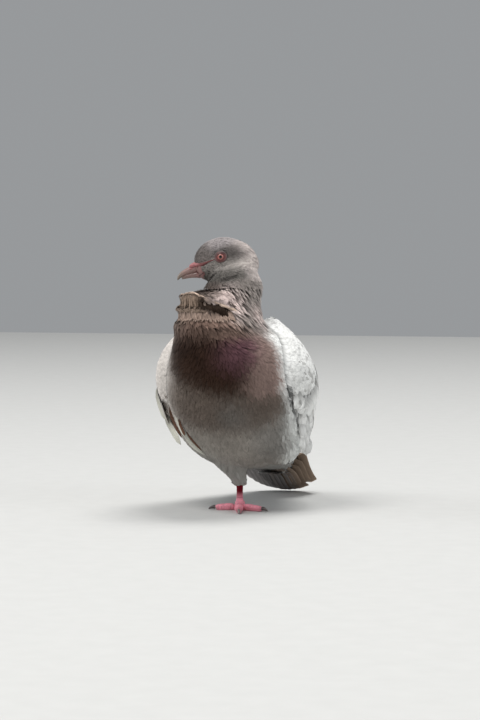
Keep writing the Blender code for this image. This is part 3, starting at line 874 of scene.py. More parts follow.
def barb_group(name):
    """Fine slanting barbs either side of a shaft, from a blade's across and along places."""
    tree, entry, leave = group(
        name, "Place", {"Own": 0.5, "Barbs": 26.0, "Slant": 0.5, "Clumps": 0.5, "Shaft": 0.05,
                        "Root Shade": 0.5}, ("Shade", "Shaft", "Edge", "Height"))
    split = node(tree, "ShaderNodeSeparateXYZ")
    link(entry["Place"], split.inputs[0])
    x, y = split.outputs[0], split.outputs[1]
    offset = calc("SUBTRACT", x, 0.5)
    across = calc("MULTIPLY", calc("ABSOLUTE", offset), 2.0)
    run = calc("SUBTRACT", y, calc("MULTIPLY", across, entry["Slant"]))
    line = calc("MULTIPLY", calc("PINGPONG", calc("MULTIPLY", run, entry["Barbs"]), 0.5), 2.0)
    spot = node(tree, "ShaderNodeCombineXYZ")
    for socket, value, scale in zip(spot.inputs, (run, offset, entry["Own"]), (9.0, 1.6, 40.0)):
        link(calc("MULTIPLY", value, scale), socket)
    clump = noise(tree, spot.outputs[0], Scale=1.0, Detail=2.0, Roughness=0.6)
    swing = calc("MULTIPLY_ADD", clump, 2.0, -1.0)
    strands = calc("ADD", calc("MULTIPLY_ADD", line, 0.16, 0.92),
                   calc("MULTIPLY", swing, entry["Clumps"]))
    # Painted shade: each blade darkens towards its root, where the feathers over it shade it; Root
    # Shade sets how much.
    climb = node(tree, "ShaderNodeMapRange", interpolation_type="SMOOTHSTEP")
    climb.inputs["From Min"].default_value = 0.05
    climb.inputs["From Max"].default_value = 0.75
    link(y, climb.inputs["Value"])
    link(calc("SUBTRACT", 1.0, entry["Root Shade"]), climb.inputs["To Min"])
    tip, side = calc("POWER", y, 8.0), calc("MULTIPLY", calc("POWER", across, 9.0), 0.5)
    link(calc("MULTIPLY", strands, climb.outputs[0]), leave["Shade"])
    link(calc("LESS_THAN", across, entry["Shaft"]), leave["Shaft"])
    link(calc("MAXIMUM", tip, side, clamp=True), leave["Edge"])
    link(calc("MULTIPLY_ADD", swing, 0.6, line), leave["Height"])
    return tree


def plumage(name, barbs=26.0, slant=0.5, clumps=0.16, shaft=0.05, shaft_shade=0.85,
            root_shade=0.45, edge=0.0, bump=0.06, vary=0.22):
    """A feather finish: the painted markings, broken by barbs, shafts, painted shade at the roots,
    and rims.
    """
    material, tree, shader = new_finish(name, Roughness=0.85, Specular_IOR_Level=0.08,
                                        Sheen_Weight=0.02, Sheen_Roughness=0.5)
    tint = node(tree, "ShaderNodeAttribute", attribute_name="Marking")
    place = node(tree, "ShaderNodeUVMap", uv_map="Vane")
    barb = use_group(tree, "Feather Barbs", barb_group, Barbs=barbs, Slant=slant,
                     Clumps=clumps, Shaft=shaft, Root_Shade=root_shade)
    link(place.outputs[0], barb.inputs["Place"])
    link(tint.outputs["Alpha"], barb.inputs["Own"])
    shade = barb.outputs["Shade"]
    for source, amount, rest in ((tint.outputs["Alpha"], vary, 1 - vary / 2),
                                 (barb.outputs["Shaft"], shaft_shade - 1, 1.0),
                                 (barb.outputs["Edge"], edge, 1.0)):
        shade = calc("MULTIPLY", shade, calc("MULTIPLY_ADD", source, amount, rest))
    paint(tree, shader, tint, shade, barb.outputs["Height"], 0.5, bump)
    return material


def skin_material():
    """Feathered skin between the feathers: the markings darkened as painted shade deep in the
    coat, with fine pitting.
    """
    material, tree, shader = new_finish("Skin", Roughness=0.85)
    tint = node(tree, "ShaderNodeAttribute", attribute_name="Marking")
    grain = noise(tree, Scale=900.0, Detail=4.0)
    paint(tree, shader, tint, calc("MULTIPLY_ADD", grain, 0.5, 0.3), grain, 0.6, 0.2)
    return material


# ---------------------------------------------------------------- skin


class OBJECT_OT_pigeon_skin(bpy.types.Operator):
    """Make the skin, one closed surface inside the coat, with its unwrap"""
    bl_idname = "object.pigeon_skin"
    bl_label = "Skin"

    def execute(self, context):
        names = BODY_NODES + ("wing_left_coverts", "wing_right_coverts")
        quills = ("wing_left_flight", "wing_right_flight")
        bm = fused(welded(names + quills + FACE_NODES, 0.25 * MM), 1.8 * MM, 3)
        tree = BVHTree.FromBMesh(bm)
        size = sizes()
        spots = np.array([v.co for v in bm.verts])
        at_head = smooth(180, 196, spots[:, 2] / MM)
        depth = size.body_depth + (size.face_depth - size.body_depth) * at_head
        moved = []
        for vert, deep in zip(bm.verts, depth):
            inward = -vert.normal
            hit = tree.ray_cast(vert.co + inward * 0.05 * MM, inward)
            room = hit[3] if hit[0] is not None else 1.0
            moved.append(vert.co + inward * min(deep, 0.3 * room))
        for vert, place in zip(bm.verts, moved):
            vert.co = place
        relax(bm, bm.verts, 2)
        mesh = tinted(bm, marked)
        mesh.uv_layers.new(name="OFBake")
        thing = piece("skin", mesh, skin_material(), names)
        context.view_layer.objects.active = thing
        thing.select_set(True)
        bpy.ops.object.mode_set(mode="EDIT")
        bpy.ops.mesh.select_all(action="SELECT")
        bpy.ops.uv.smart_project(angle_limit=math.radians(66), island_margin=0.004)
        bpy.ops.object.mode_set(mode="OBJECT")
        thing.select_set(False)
        return {"FINISHED"}


def skin_map():
    """A tree of the skin's faces, and the middle of each face on the skin's unwrap."""
    mesh = bpy.data.objects["skin"].data
    tree = BVHTree.FromPolygons([v.co.copy() for v in mesh.vertices],
                                [p.vertices[:] for p in mesh.polygons])
    flat = np.zeros(len(mesh.loops) * 2)
    mesh.uv_layers["OFBake"].data.foreach_get("uv", flat)
    starts = np.array([p.loop_start for p in mesh.polygons])
    ends = starts + np.array([p.loop_total for p in mesh.polygons])
    flat = flat.reshape(-1, 2)
    return tree, np.array([flat[a:b].mean(axis=0) for a, b in zip(starts, ends)])


def skin_places(roots):
    """The place on the skin's unwrap that is nearest to each root."""
    tree, centres = once("skin", skin_map)
    return centres[[tree.find_nearest(Vector(r))[2] for r in roots]]


# ---------------------------------------------------------------- body coat


def covered(spots, ways):
    """True where a wing lies well over the body, not just at the wing's edge."""
    trees = [surface(side).tree for side in WING_NODES]
    behind, reach, margin = 0.8, 15, 7

    def under_wing(spot, aim):
        start = spot - aim * behind * MM
        return any(tree.ray_cast(start, aim, reach * MM)[0] is not None for tree in trees)

    shifts = [Vector((0, y * margin, z * margin)) * MM
              for y, z in ((0, 0), (-1, 0), (1, 0), (0, -1), (0, 1))]
    return np.array([all(under_wing(Vector(spot) + shift, Vector(way)) for shift in shifts)
                     for spot, way in zip(spots, ways)])


def bare(spots):
    """True on the bare parts of the face: round the eyes, at the gape and under the cere."""
    f, side, u = head_places(spots).T
    lid_reach, half_face = 4.7, 4
    beside = np.abs(side) > half_face
    lids = (np.hypot(f, u) < lid_reach) & beside
    strip = (np.abs(u - strip_line(f)) < strip_width(f) * 0.8) & (f > 4) & (f < 21) & beside
    return lids | strip


def strip_line(f):
    """How far up the middle of the bare strip is, that far forward of the eye."""
    return -0.45 - 0.06 * (f - 5)


def strip_width(f):
    """Half the width of the bare strip, that far forward of the eye."""
    return 0.6 + 1.0 * smooth(8, 17, f) + 0.3 * smooth(8, 4, f)


def tract(spacing, wanted, rng, lengths, widths, kinds, turn=0.16, shade=1.0, **laying):
    """Lays one tract of contour feathers on the body, as tufts for feather_mesh."""
    body = surface("body")
    roots, ways = body.scatter(spacing, wanted, rng)
    lies = lie(roots, ways)
    side = np.cross(lies, ways)
    swing = rng.normal(0, turn, len(roots))[:, None]
    lies = lies * np.cos(swing) + side * np.sin(swing)
    colours = marked(roots) * over(shade, roots)[:, None]
    return laid_tract(body.tree, roots, ways, lies, colours, rng, lengths, widths, kinds, **laying)


def over(value, roots):
    """value at each root, whether it is one number or a function of the roots."""
    return np.full(len(roots), value) if np.isscalar(value) else value(roots)


def laid_tract(tree, roots, ways, lies, colours, rng, lengths, widths, kinds, steps=4,
               follow=0.7, tilt=0.1, depth=1.2, top=0.35, thick=0.12, ragged=0.15, uneven=0.2):
    """Lays one tract from its roots, as tufts for feather_mesh. Sizes are in millimetres, and
    most may be functions of the roots. depth is how far under the surface a root lies, top how
    far over it a tip does, and ragged and uneven are how much sizes and tops vary."""
    count = len(roots)
    spread = rng.normal(1, ragged, (2, count)).clip(0.6, 1.5)
    long = over(lengths, roots) * MM * spread[0]
    half = over(widths, roots) * MM * spread[1] / 2
    slope = over(tilt, roots) * spread[0]
    high = (over(top, roots) + rng.uniform(-uneven, uneven, count)) * MM
    points, outs = lay(tree, roots, ways, lies, long, steps, over(follow, roots), slope,
                       (-over(depth, roots) * MM, high))
    own = rng.random(count)
    pick = rng.integers(0, len(kinds), count)
    entries = []
    for n, kind in enumerate(kinds):
        use = pick == n
        if use.any():
            entries.append((kind, points[use], outs[use], half[use],
                            np.full(use.sum(), thick * MM), colours[use], own[use], roots[use]))
    return entries


class OBJECT_OT_pigeon_head_coat(bpy.types.Operator):
    """Lay the small feathers of the head"""
    bl_idname = "object.pigeon_head_coat"
    bl_label = "Head Coat"

    def execute(self, context):
        rng = np.random.default_rng(11)

        def wanted(spots, ways):
            return feathered_face(spots) & ~bare(spots)

        def nape(spots):
            return smooth(6, -22, head_places(spots)[:, 0])

        def bristle(spots):
            f, _, u = head_places(spots).T
            return 0.1 + 0.35 * smooth(14, 19, f) * smooth(-1, 3, u)

        entries = tract(lambda s: 0.72 + 0.3 * nape(s), wanted, rng,
                        lambda s: 2.5 + 4.0 * nape(s), lambda s: 1.0 + 0.9 * nape(s),
                        ("small", "small", "slim"), steps=3,
                        follow=lambda s: 0.85 - 0.4 * nape(s), tilt=bristle,
                        depth=0.6, top=0.08, thick=0.1)
        feathered("head_coat", entries, "plumage_head", "Head Feathers", clumps=0.2,
                  root_shade=0.35, bump=0.04)
        return {"FINISHED"}


def about_neck(spots):
    """Spots as millimetres from the neck's axis, and their headings about it."""
    out = spots / MM - np.array(NECK_AXIS) / MM
    return out, np.arctan2(out[:, 1], out[:, 0])


def furrow(spots):
    """The furrows of the neck's hackles, from -1 in a furrow to 1 on a ridge."""
    out, heading = about_neck(spots)
    neck_radius, gap = 27, 3.8
    arc = heading * neck_radius
    run = (arc * 0.88 + out[:, 2] * 0.48) / gap + 0.35 * soft_noise(spots, 14 * MM, 41)
    strong = smooth(148, 160, out[:, 2]) * smooth(196, 186, out[:, 2]) * (1 - 0.8 * in_ruff(spots))
    return np.cos(run * 2 * math.pi) * strong


def in_ruff(spots):
    """1 in the raised collar at the front of the lower neck, 0 outside it."""
    out, heading = about_neck(spots)
    turn = np.abs((heading - RUFF_HEADING + math.pi) % (2 * math.pi) - math.pi)
    return (smooth(math.radians(84), math.radians(62), turn) * smooth(138, 143, out[:, 2])
            * smooth(180, 176, out[:, 2]))


class OBJECT_OT_pigeon_neck_coat(bpy.types.Operator):
    """Lay the hackles of the neck and the tiers of the ruff"""
    bl_idname = "object.pigeon_neck_coat"
    bl_label = "Neck Coat"

    def execute(self, context):
        rng = np.random.default_rng(12)

        def low(spots):
            return smooth(188, 150, spots[:, 2] / MM)

        # Painted light and shade on the hackles: darker in the furrows, lighter on the ridges.
        def ridge(spots):
            return 1.3 - 0.95 * smooth(0.35, -0.6, furrow(spots))

        def hackles(spots, ways):
            return (zones(spots) == "neck") & (in_ruff(spots) < 0.5)

        entries = tract(lambda s: 1.0 + 0.25 * low(s), hackles, rng,
                        lambda s: 6.5 + 6 * low(s), lambda s: 1.7 + 0.5 * low(s),
                        ("hackle", "slim"), steps=5, follow=0.55, tilt=0.14, depth=1.6,
                        top=lambda s: 0.2 + 0.9 * furrow(s), thick=0.14, turn=0.05,
                        shade=ridge, uneven=0.1)
        feathered("neck_coat", entries, "plumage_neck", "Neck Feathers", clumps=0.22,
                  root_shade=0.72, vary=0.6)

        def collar(spots, ways):
            return (zones(spots) == "neck") & (in_ruff(spots) >= 0.5)

        entries = tract(1.35, collar, rng, 9.5, 2.4,
                        ("loose", "slim", "hackle"), steps=5, follow=0.55, tilt=0.06, depth=1.3,
                        top=0.2, thick=0.1, ragged=0.22, turn=0.1, uneven=0.15)
        for line, colour, half, lift in ruff_folds():
            entries += locks(line, colour, half, lift, rng)
        c = markings()
        rim = np.array(ruff_folds()[0][0][:8]) - (0, 0, 0.8)
        # The curtain under the rim turns from the ruff's colour to the painted shade of the hollow
        # along the second half of its line.
        entries += curtain(rim, (c.ruff, c.ruff_hollow_shade), 9.0, 0.3, rng)
        # A curtain of painted light on the band under the collar's fold.
        band = ((-36, -50, 160.5), (-33, -57, 160.8), (-24.5, -66, 161.8), (-16, -69.5, 162),
                (-7.7, -70, 162), (0, -65.5, 161.8), (6, -59.5, 161.5))
        entries += curtain(band, (c.ruff_band_light, c.ruff_band_light), 7.5, 0.9, rng)
        feathered("ruff_coat", entries, "plumage_neck", "Ruff Feathers", clumps=0.22,
                  root_shade=0.4, edge=0.2, vary=0.3)
        return {"FINISHED"}


def ruff_folds():
    """The folds of the ruff, where feathers lie along a raised edge: places in millimetres,
    colour, half width of the feathers and how far the fold stands out."""
    c = markings()
    return (
        (((-37, -44, 171.5), (-34.8, -52, 172.8), (-30.4, -57, 174.8), (-25.6, -60, 175.6),
          (-20.9, -62.5, 174.8), (-13.5, -66, 171.6), (-5.5, -65, 168.4), (4.3, -61.5, 164.4),
          (9, -56, 162)), c.ruff_edge_highlight, 0.5, 0.5),
        (((-14, -61, 172), (-6, -61.5, 170.5), (0, -59, 168.5), (8, -54, 165.5)),
         c.throat, 0.7, 0.4),
    )


def tuft(kind, points, outs, half, thick, colours, own):
    """One tuft of like feathers for feather_mesh, with its sizes in millimetres."""
    count = len(points)
    return (kind, points, outs, np.full(count, half) * MM, np.full(count, thick * MM), colours,
            own, points[:, 0])


def locks(line, colour, half, lift, rng):
    """Slim feathers laid end over end along a line by the body, as tufts for feather_mesh."""
    tree = surface("body").tree
    line, ends = measured(line)
    count = int(ends[-1] / (0.4 * MM))
    long = 8 * MM * rng.uniform(0.8, 1.2, count)
    starts = np.linspace(0, ends[-1] - 3 * MM, count)
    runs = starts[:, None] + long[:, None] * np.linspace(0, 1, 5)[None]
    points = along(line, ends, runs)
    past = np.maximum(runs - ends[-1], 0)[:, :, None]
    points += past * unit(line[-1] - line[-2])
    points += rng.normal(0, 0.45 * MM, (count, 1, 3))
    outs = np.array([tree.find_nearest(Vector(p))[1] for p in points.reshape(-1, 3)])
    outs = outs.reshape(points.shape)
    points += outs * (lift * MM * np.array((0, 0.6, 1, 1, 0.7)))[None, :, None]
    tint = np.tile(np.array(colour), (count, 1)) * rng.uniform(0.8, 1.15, count)[:, None]
    return [tuft("hackle", points, outs, half, 0.16, tint, rng.random(count))]


def curtain(line, colour, long, stand, rng):
    """Feathers that hang down from a line by the body, as tufts for feather_mesh. colour is
    one colour for the first half of the line and one for the rest."""
    tree = surface("body").tree
    line, ends = measured(line)
    count = int(ends[-1] / (0.17 * MM))
    runs = np.linspace(0, ends[-1], count)
    roots = along(line, ends, runs)
    roots += rng.normal(0, 0.35 * MM, roots.shape) * (1, 1, 1.6)
    ways = np.array([tree.find_nearest(Vector(p))[1] for p in roots])
    ways[:, 2] *= 0.3
    ways = unit(ways)
    lies = np.tile(np.array((0.18, 0, -1.0)), (count, 1)) + rng.normal(0, 0.07, (count, 3))
    lies = flattened(lies, ways)
    tint = blend(colour[0], colour[1], smooth(0.45, 0.62, runs / ends[-1]))
    tint = tint * rng.uniform(0.8, 1.2, count)[:, None]
    return laid_tract(tree, roots, ways, lies, tint, rng, long, 1.7, ("loose", "slim", "hackle"),
                      steps=5, follow=0.3, tilt=0.0, depth=-0.2, top=stand, thick=0.1,
                      ragged=0.2)


class OBJECT_OT_pigeon_body_coat(bpy.types.Operator):
    """Lay the feathers of the breast, belly, thighs, back and rump"""
    bl_idname = "object.pigeon_body_coat"
    bl_label = "Body Coat"

    def execute(self, context):
        body = surface("body")
        centres = body.corners.mean(axis=1)
        names = np.where(covered(centres, body.ways), "hidden", zones(centres))

        def fluff(spots):
            """Loose feathers at the left flank and the legs."""
            x, y, z = (spots / MM).T
            return smooth(34, 45, x) * smooth(92, 76, z) * smooth(78, 50, y)

        for seed, place, side in ((13, "breast", "left"), (14, "breast", "right"),
                                  (15, "body", "left"), (16, "body", "right")):
            rng = np.random.default_rng(seed)
            breast = place == "breast"
            parts = ("breast",) if breast else ("trunk", "rump", "thigh_left", "thigh_right")
            here = np.isin(names, parts) & ((centres[:, 0] > BODY_MIDDLE) == (side == "left"))
            entries = tract(1.25 if breast else 1.45, lambda s, w: here, rng,
                            12 if breast else lambda s: 15 + 5 * fluff(s),
                            2.9 if breast else 3.4, ("loose", "slim"), turn=0.12,
                            tilt=lambda s: 0.03 + 0.22 * fluff(s) * rng.random(len(s)),
                            depth=1.3, top=lambda s: 0.12 + 1.8 * fluff(s), thick=0.06,
                            uneven=0.1)
            feathered(f"{place}_coat_{side}", entries, f"plumage_{place}",
                      f"{place.title()} {side.title()} Feathers", root_shade=0.15, vary=0.14)
        return {"FINISHED"}


# ---------------------------------------------------------------- wings and tail


class WingPlane:
    """The outer face of a folded wing. Places on it are given in millimetres back along the
    wing from the shoulder and up across it, and read from an evened height field."""

    STEP = 4.0
    FILL_ROUNDS, EVEN_ROUNDS = 60, 3
    BACK = Vector((0.887, -0.462))
    UP = Vector((0.462, 0.887))
    ORIGIN = Vector((-36, 118))

    def __init__(self, side):
        self.sign = 1 if side == "left" else -1
        tree = surface(side).tree
        self.s = np.arange(-24, 212, self.STEP)
        self.t = np.arange(-48, 72, self.STEP)
        height = np.full((len(self.s), len(self.t)), np.nan)
        for i, s in enumerate(self.s):
            for j, t in enumerate(self.t):
                y, z = self.ORIGIN + self.BACK * float(s) + self.UP * float(t)
                hit = tree.ray_cast(Vector((0.2 * self.sign, y * MM, z * MM)),
                                    Vector((-self.sign, 0, 0)))[0]
                if hit is not None and hit.x * self.sign > 0:
                    height[i, j] = hit.x * self.sign / MM
        known = ~np.isnan(height)
        for _ in range(2):
            known[:, 1:] &= known[:, :-1].copy()
        known[1:] &= known[:-1].copy()
        height[~known] = 0
        weight = known.astype(float)
        filled = height.copy()
        for _ in range(self.FILL_ROUNDS):
            total, share = np.zeros_like(filled), np.zeros_like(filled)
            for axis in (0, 1):
                for way in (-1, 1):
                    total += np.roll(filled * weight, way, axis)
                    share += np.roll(weight, way, axis)
            spread = total / np.maximum(share, 1e-9)
            filled = np.where(known, filled, spread)
            weight = np.where(known, 1.0, np.minimum(1, share) * 0.9)
        for _ in range(self.EVEN_ROUNDS):
            mean = sum(np.roll(filled, way, axis) for axis in (0, 1) for way in (-1, 1)) / 4
            filled[1:-1, 1:-1] = (filled * 0.5 + mean * 0.5)[1:-1, 1:-1]
        self.height = filled

    def read(self, s, t):
        """How far out of the body's middle the face is there, in millimetres."""
        a = np.clip((s - self.s[0]) / self.STEP, 0, len(self.s) - 1.001)
        b = np.clip((t - self.t[0]) / self.STEP, 0, len(self.t) - 1.001)
        i, j = a.astype(int), b.astype(int)
        p, q = a - i, b - j
        h = self.height
        return ((h[i, j] * (1 - p) + h[i + 1, j] * p) * (1 - q)
                + (h[i, j + 1] * (1 - p) + h[i + 1, j + 1] * p) * q)

    def place(self, s, t):
        """Points on the wing's face in metres, and the way out of it there."""
        x = self.read(s, t)
        ds = (self.read(s + 3, t) - self.read(s - 3, t)) / 6
        dt = (self.read(s, t + 3) - self.read(s, t - 3)) / 6
        y = self.ORIGIN.x + s * self.BACK.x + t * self.UP.x
        z = self.ORIGIN.y + s * self.BACK.y + t * self.UP.y
        points = np.stack((x * self.sign, y, z), axis=-1) * MM
        dy = ds * self.BACK.x + dt * self.UP.x
        dz = ds * self.BACK.y + dt * self.UP.y
        outs = np.stack((np.full_like(x, self.sign), -dy, -dz), axis=-1)
        return points, unit(outs)


# Rows of wing feathers: how many, root and tip of the lowest, root and tip of the highest as
# (back, up) in millimetres, half width of the lowest and highest, and how far out they lie.
WING_ROWS = {
    "primaries": (8, (66, -17), (187, 0), (84, -2), (140, 10), 6.5, 8.5, -0.6),
    "secondaries": (10, (46, -17), (110, -16), (52, 22), (126, 13), 6.5, 8.5, 0.2),
    "tertials": (4, (58, 20), (131, 14), (44, 40), (100, 31), 10.0, 11.5, 0.9),
    "primary_coverts": (5, (52, -20), (90, -18), (60, -13), (100, -12), 4.2, 4.6, 0.7),
    "alula": (3, (22, -23), (58, -21), (26, -18), (54, -17), 3.6, 3.8, 1.2),
    "greater_coverts": (13, (44, -18), (77, -19), (50, 32), (84, 27), 5.0, 5.6, 1.0),
    "median_coverts": (13, (28, -21), (54, -21), (38, 40), (62, 38), 4.8, 5.4, 1.5),
}


def wing_row(plane, row, rng, droop, splay):
    """The centre lines of one row of wing feathers."""
    count, low_root, low_tip, high_root, high_tip, low_half, high_half, out = WING_ROWS[row]
    part = np.linspace(0, 1, count)[:, None]
    root = np.array(low_root) * (1 - part) + np.array(high_root) * part
    tip = np.array(low_tip) * (1 - part) + np.array(high_tip) * part
    root = root + rng.normal(0, 0.6, (count, 2))
    tip = tip + rng.normal(0, 1.3, (count, 2)) * (1, 0.5)
    root[:, 1] -= droop * smooth(20, -15, root[:, 1])
    tip[:, 1] -= (droop + splay) * smooth(24, -15, tip[:, 1])
    u = np.linspace(0, 1, 15)[None, :, None]
    line = root[:, None] * (1 - u) + tip[:, None] * u
    line[:, :, 1] += (np.sin(u[:, :, 0] * math.pi) * 1.2)
    points, outs = plane.place(line[:, :, 0], line[:, :, 1])
    u = u[:, :, 0]
    rise = (out + (u - 0.5) * 1.2 + rng.uniform(-0.1, 0.1, (count, 1))) * MM
    points = points + outs * rise[:, :, None]
    side = np.cross(headings(points), outs)
    lean = math.radians(5) * plane.sign
    outs = outs * math.cos(lean) - side * math.sin(lean)
    half = low_half * (1 - part[:, 0]) + high_half * part[:, 0]
    return points, outs, half


def wing_marks(side, spots, rng, row=None):
    """Each wing feather's colour: the left wing is white with a few grey feathers, the right
    grey with brown and slate quills."""
    c = markings()
    count = len(spots)
    if side == "left":
        # The white wing carries the painted shade of the slot where it stands off the flank.
        base = np.array(c.white_wing) * painted_shading(spots / MM)[:, None]
        grey = np.array(c.grey_streak)
        odd = rng.random(count) < (0.2 if row in (None, "median_coverts") else 0.25)
        mix = np.where(odd, rng.uniform(0.2, 0.65, count), rng.uniform(0, 0.06, count))[:, None]
        return base * (1 - mix) + grey * mix
    base = np.tile(np.array(c.grey_wing), (count, 1))
    if row in ("primaries", "secondaries", "tertials", "primary_coverts"):
        brown, slate = np.array(c.quill_brown), np.array(c.quill_slate)
        kind = rng.random(count)[:, None]
        base = np.where(kind < 0.25, brown, np.where(kind < 0.45, slate, base))
    return base * (1 + rng.uniform(-0.08, 0.08, count))[:, None]


class OBJECT_OT_pigeon_wings(bpy.types.Operator):
    """Lay the coverts and the flight feathers of both wings"""
    bl_idname = "object.pigeon_wings"
    bl_label = "Wings"

    def execute(self, context):
        for side in ("left", "right"):
            rng = np.random.default_rng(21 if side == "left" else 22)
            plane = WingPlane(side)
            droop, splay = (-3, -2) if side == "left" else (3, 2)
            quills, coverts = [], []
            for name in WING_ROWS:
                points, outs, half = wing_row(plane, name, rng, droop, splay)
                long = name in ("primaries", "secondaries", "tertials")
                kinds = ("quill", "quill_split", "quill_worn") if long else ("covert",
                                                                            "covert_split")
                colour = wing_marks(side, points[:, 0], rng, name)
                own = rng.random(len(points))
                for n in range(len(points)):
                    pick = slice(n, n + 1)
                    kind = kinds[int(rng.integers(len(kinds)))]
                    (quills if long else coverts).append(
                        tuft(kind, points[pick], outs[pick], half[pick],
                             0.35 if long else 0.28, colour[pick], own[pick]))
            feathered(f"wing_{side}_quills", quills, "plumage_wing", f"Quills {side.title()}",
                      (f"wing_{side}_flight",), barbs=60, slant=0.2, clumps=0.12, shaft=0.07,
                      shaft_shade=0.7, root_shade=0.12, bump=0.08)

            outer = surface(side)
            sign = plane.sign

            def across(spots):
                away = spots[:, 1:] / MM - np.array(WingPlane.ORIGIN)
                return away @ np.array(WingPlane.BACK), away @ np.array(WingPlane.UP)

            def wanted(spots, ways):
                s, t = across(spots)
                front = (s - 0.2 * t < 44) | ((t > 25) & (s < 84))
                front &= (t > -21) | (s < 6)
                return front & ((ways[:, 0] * sign > -0.35) | (s < 8))

            def back(spots):
                return smooth(-8, 60, across(spots)[0])

            roots, ways = outer.scatter(lambda s: 1.35 + 1.9 * back(s), wanted, rng)
            lies = np.tile(np.array((0, 0.887, -0.462)), (len(roots), 1))
            lies[:, 2] -= 0.5 * smooth(14, -24, across(roots)[1])
            lies[:, 1] += 0.1 * rng.normal(size=len(roots))
            lies = flattened(lies, ways)
            coverts += laid_tract(outer.tree, roots, ways, lies, wing_marks(side, roots, rng),
                                  rng, lambda s: 7 + 9.5 * back(s),
                                  lambda s: 3.2 + 6.4 * back(s), ("round", "broad"), follow=0.8,
                                  tilt=lambda s: 0.02 + 0.28 * (rng.random(len(s)) < 0.1),
                                  depth=1.0, top=0.45, thick=0.09, ragged=0.12, uneven=0.15)
            coverts += self.bridge(side, sign, rng)
            coverts += self.hanging(rng) if side == "right" else self.flank(rng)
            feathered(f"wing_{side}_coverts_coat", coverts, "plumage_wing",
                      f"Coverts {side.title()}", clumps=0.14, edge=-0.22, vary=0.18)
        return {"FINISHED"}

    def hanging(self, rng):
        """Long feathers of the drooped right wing that hang beside the belly."""
        c = markings()
        whole = surface("all").tree
        entries = []
        for line, half, lift, colour in (
                (((-63.3, -1.6, 84), (-58.4, -4, 70.5), (-50, -14, 61.5), (-43.5, -17, 53.5)),
                 3.3, 1.0, c.hanging_pale),
                (((-49.5, -36, 86), (-46.5, -33.5, 76), (-44, -31, 68.5), (-40, -27.5, 60)),
                 1.9, 1.2, c.hanging_brown),
                (((-43.5, -44, 86), (-41, -41, 76), (-38.8, -38, 68), (-36, -32.5, 60)),
                 2.0, 0.9, c.hanging_pale),
                (((-39, -46.5, 78), (-36.5, -42.5, 69), (-34.5, -39.5, 63)),
                 1.5, 1.3, c.hanging_brown),
                (((-37, -42, 71), (-34.8, -37, 63), (-32, -32, 56), (-21.5, -27, 47.3)),
                 2.3, 1.6, c.hanging_pale),
                (((-33.5, -43.5, 70), (-30, -38, 61), (-23, -30, 51)),
                 1.2, 1.9, c.hanging_brown),
                (((-65.5, -10, 100), (-65.5, -9, 91), (-63, -7, 81), (-58, -9, 72)),
                 2.8, 1.0, c.hanging_pale)):
            line = np.array(line)
            at = np.linspace(0, 1, 15)
            knots = np.linspace(0, 1, len(line))
            points = evened(along(line, knots, at) * MM, 6)
            outs = np.array([whole.find_nearest(Vector(p))[1] for p in points])
            outs = unit(evened(outs, 6))
            root_depth, root_part = 1.2, 0.22
            sink = (lift + root_depth) * (1 - np.minimum(1, at / root_part))[:, None]
            points = points + outs * (lift - sink) * MM
            outs = unit(outs * 0.35 + np.array((-0.16, -0.62, 0.06)))
            entries.append(tuft("covert", points[None], outs[None], half, 0.25,
                                np.array(colour)[None], rng.random(1)))
        return entries

    def flank(self, rng):
        """Rows of loose white feathers that hang from the left wing's edge to the flank."""
        white = np.array(markings().white_wing)
        facing = np.array((0.5, -0.85, 0.12))
        entries = []
        for start, end, reach, count in (
                ((46.5, 2, 61), (46.5, 26, 53), (3.5, 5, -11), 16),
                ((48.5, -6, 73), (48, 22, 60), (4.0, 5, -13), 18),
                ((51.5, -12, 83), (51, 14, 70), (1.2, 5, -13), 18),
                ((52.8, -29, 97), (54.5, -14, 88), (-0.5, 4, -12), 12)):
            part = rng.permutation(np.linspace(0, 1, count))[:, None]
            roots = np.array(start) * (1 - part) + np.array(end) * part
            roots += rng.normal(0, 0.9, roots.shape)
            ways = np.array(reach) * rng.uniform(0.8, 1.2, (count, 1))
            ways = ways + rng.normal(0, 0.8, ways.shape)
            at = np.linspace(0, 1, 7)[None, :, None]
            bow = np.sin(at * math.pi) * np.array((1.2, -0.6, 0.3))
            points = (roots[:, None] + ways[:, None] * at + bow) * MM
            outs = facing + rng.normal(0, 0.08, (count, 1, 3)) + 0 * points
            outs = flattened(outs, unit(ways)[:, None])
            tint = white * rng.uniform(0.85, 1.0, count)[:, None]
            entries.append(tuft("round", points, outs, rng.uniform(2.2, 3.0, count), 0.12,
                                tint, rng.random(count)))
        return entries

    def bridge(self, side, sign, rng):
        """Feathers over the crack between the front of a folded wing and the body."""
        whole = surface("all")
        trees = surface(side).tree, surface("body").tree

        def wanted(spots, ways):
            x, y, z = (spots / MM).T
            front = (x * sign > 8) & (y < 12) & (z > 98)
            near = np.zeros(len(spots), bool)
            for n in np.nonzero(front)[0]:
                spot = Vector(spots[n])
                gaps = [tree.find_nearest(spot)[3] for tree in trees]
                near[n] = max(gaps) < 4.5 * MM
            return near

        roots, ways = whole.scatter(1.2, wanted, rng)
        lies = np.tile(np.array((0.2 * sign, 0.8, -0.5)), (len(roots), 1))
        lies += 0.08 * rng.normal(size=lies.shape)
        lies = flattened(lies, ways)
        colours = marked(roots) * 0.5 + wing_marks(side, roots, rng) * 0.5
        return laid_tract(whole.tree, roots, ways, lies, colours, rng, 8, 3.2,
                          ("round", "loose"), tilt=0.02, depth=0.3, top=0.9, thick=0.08,
                          uneven=0.15)


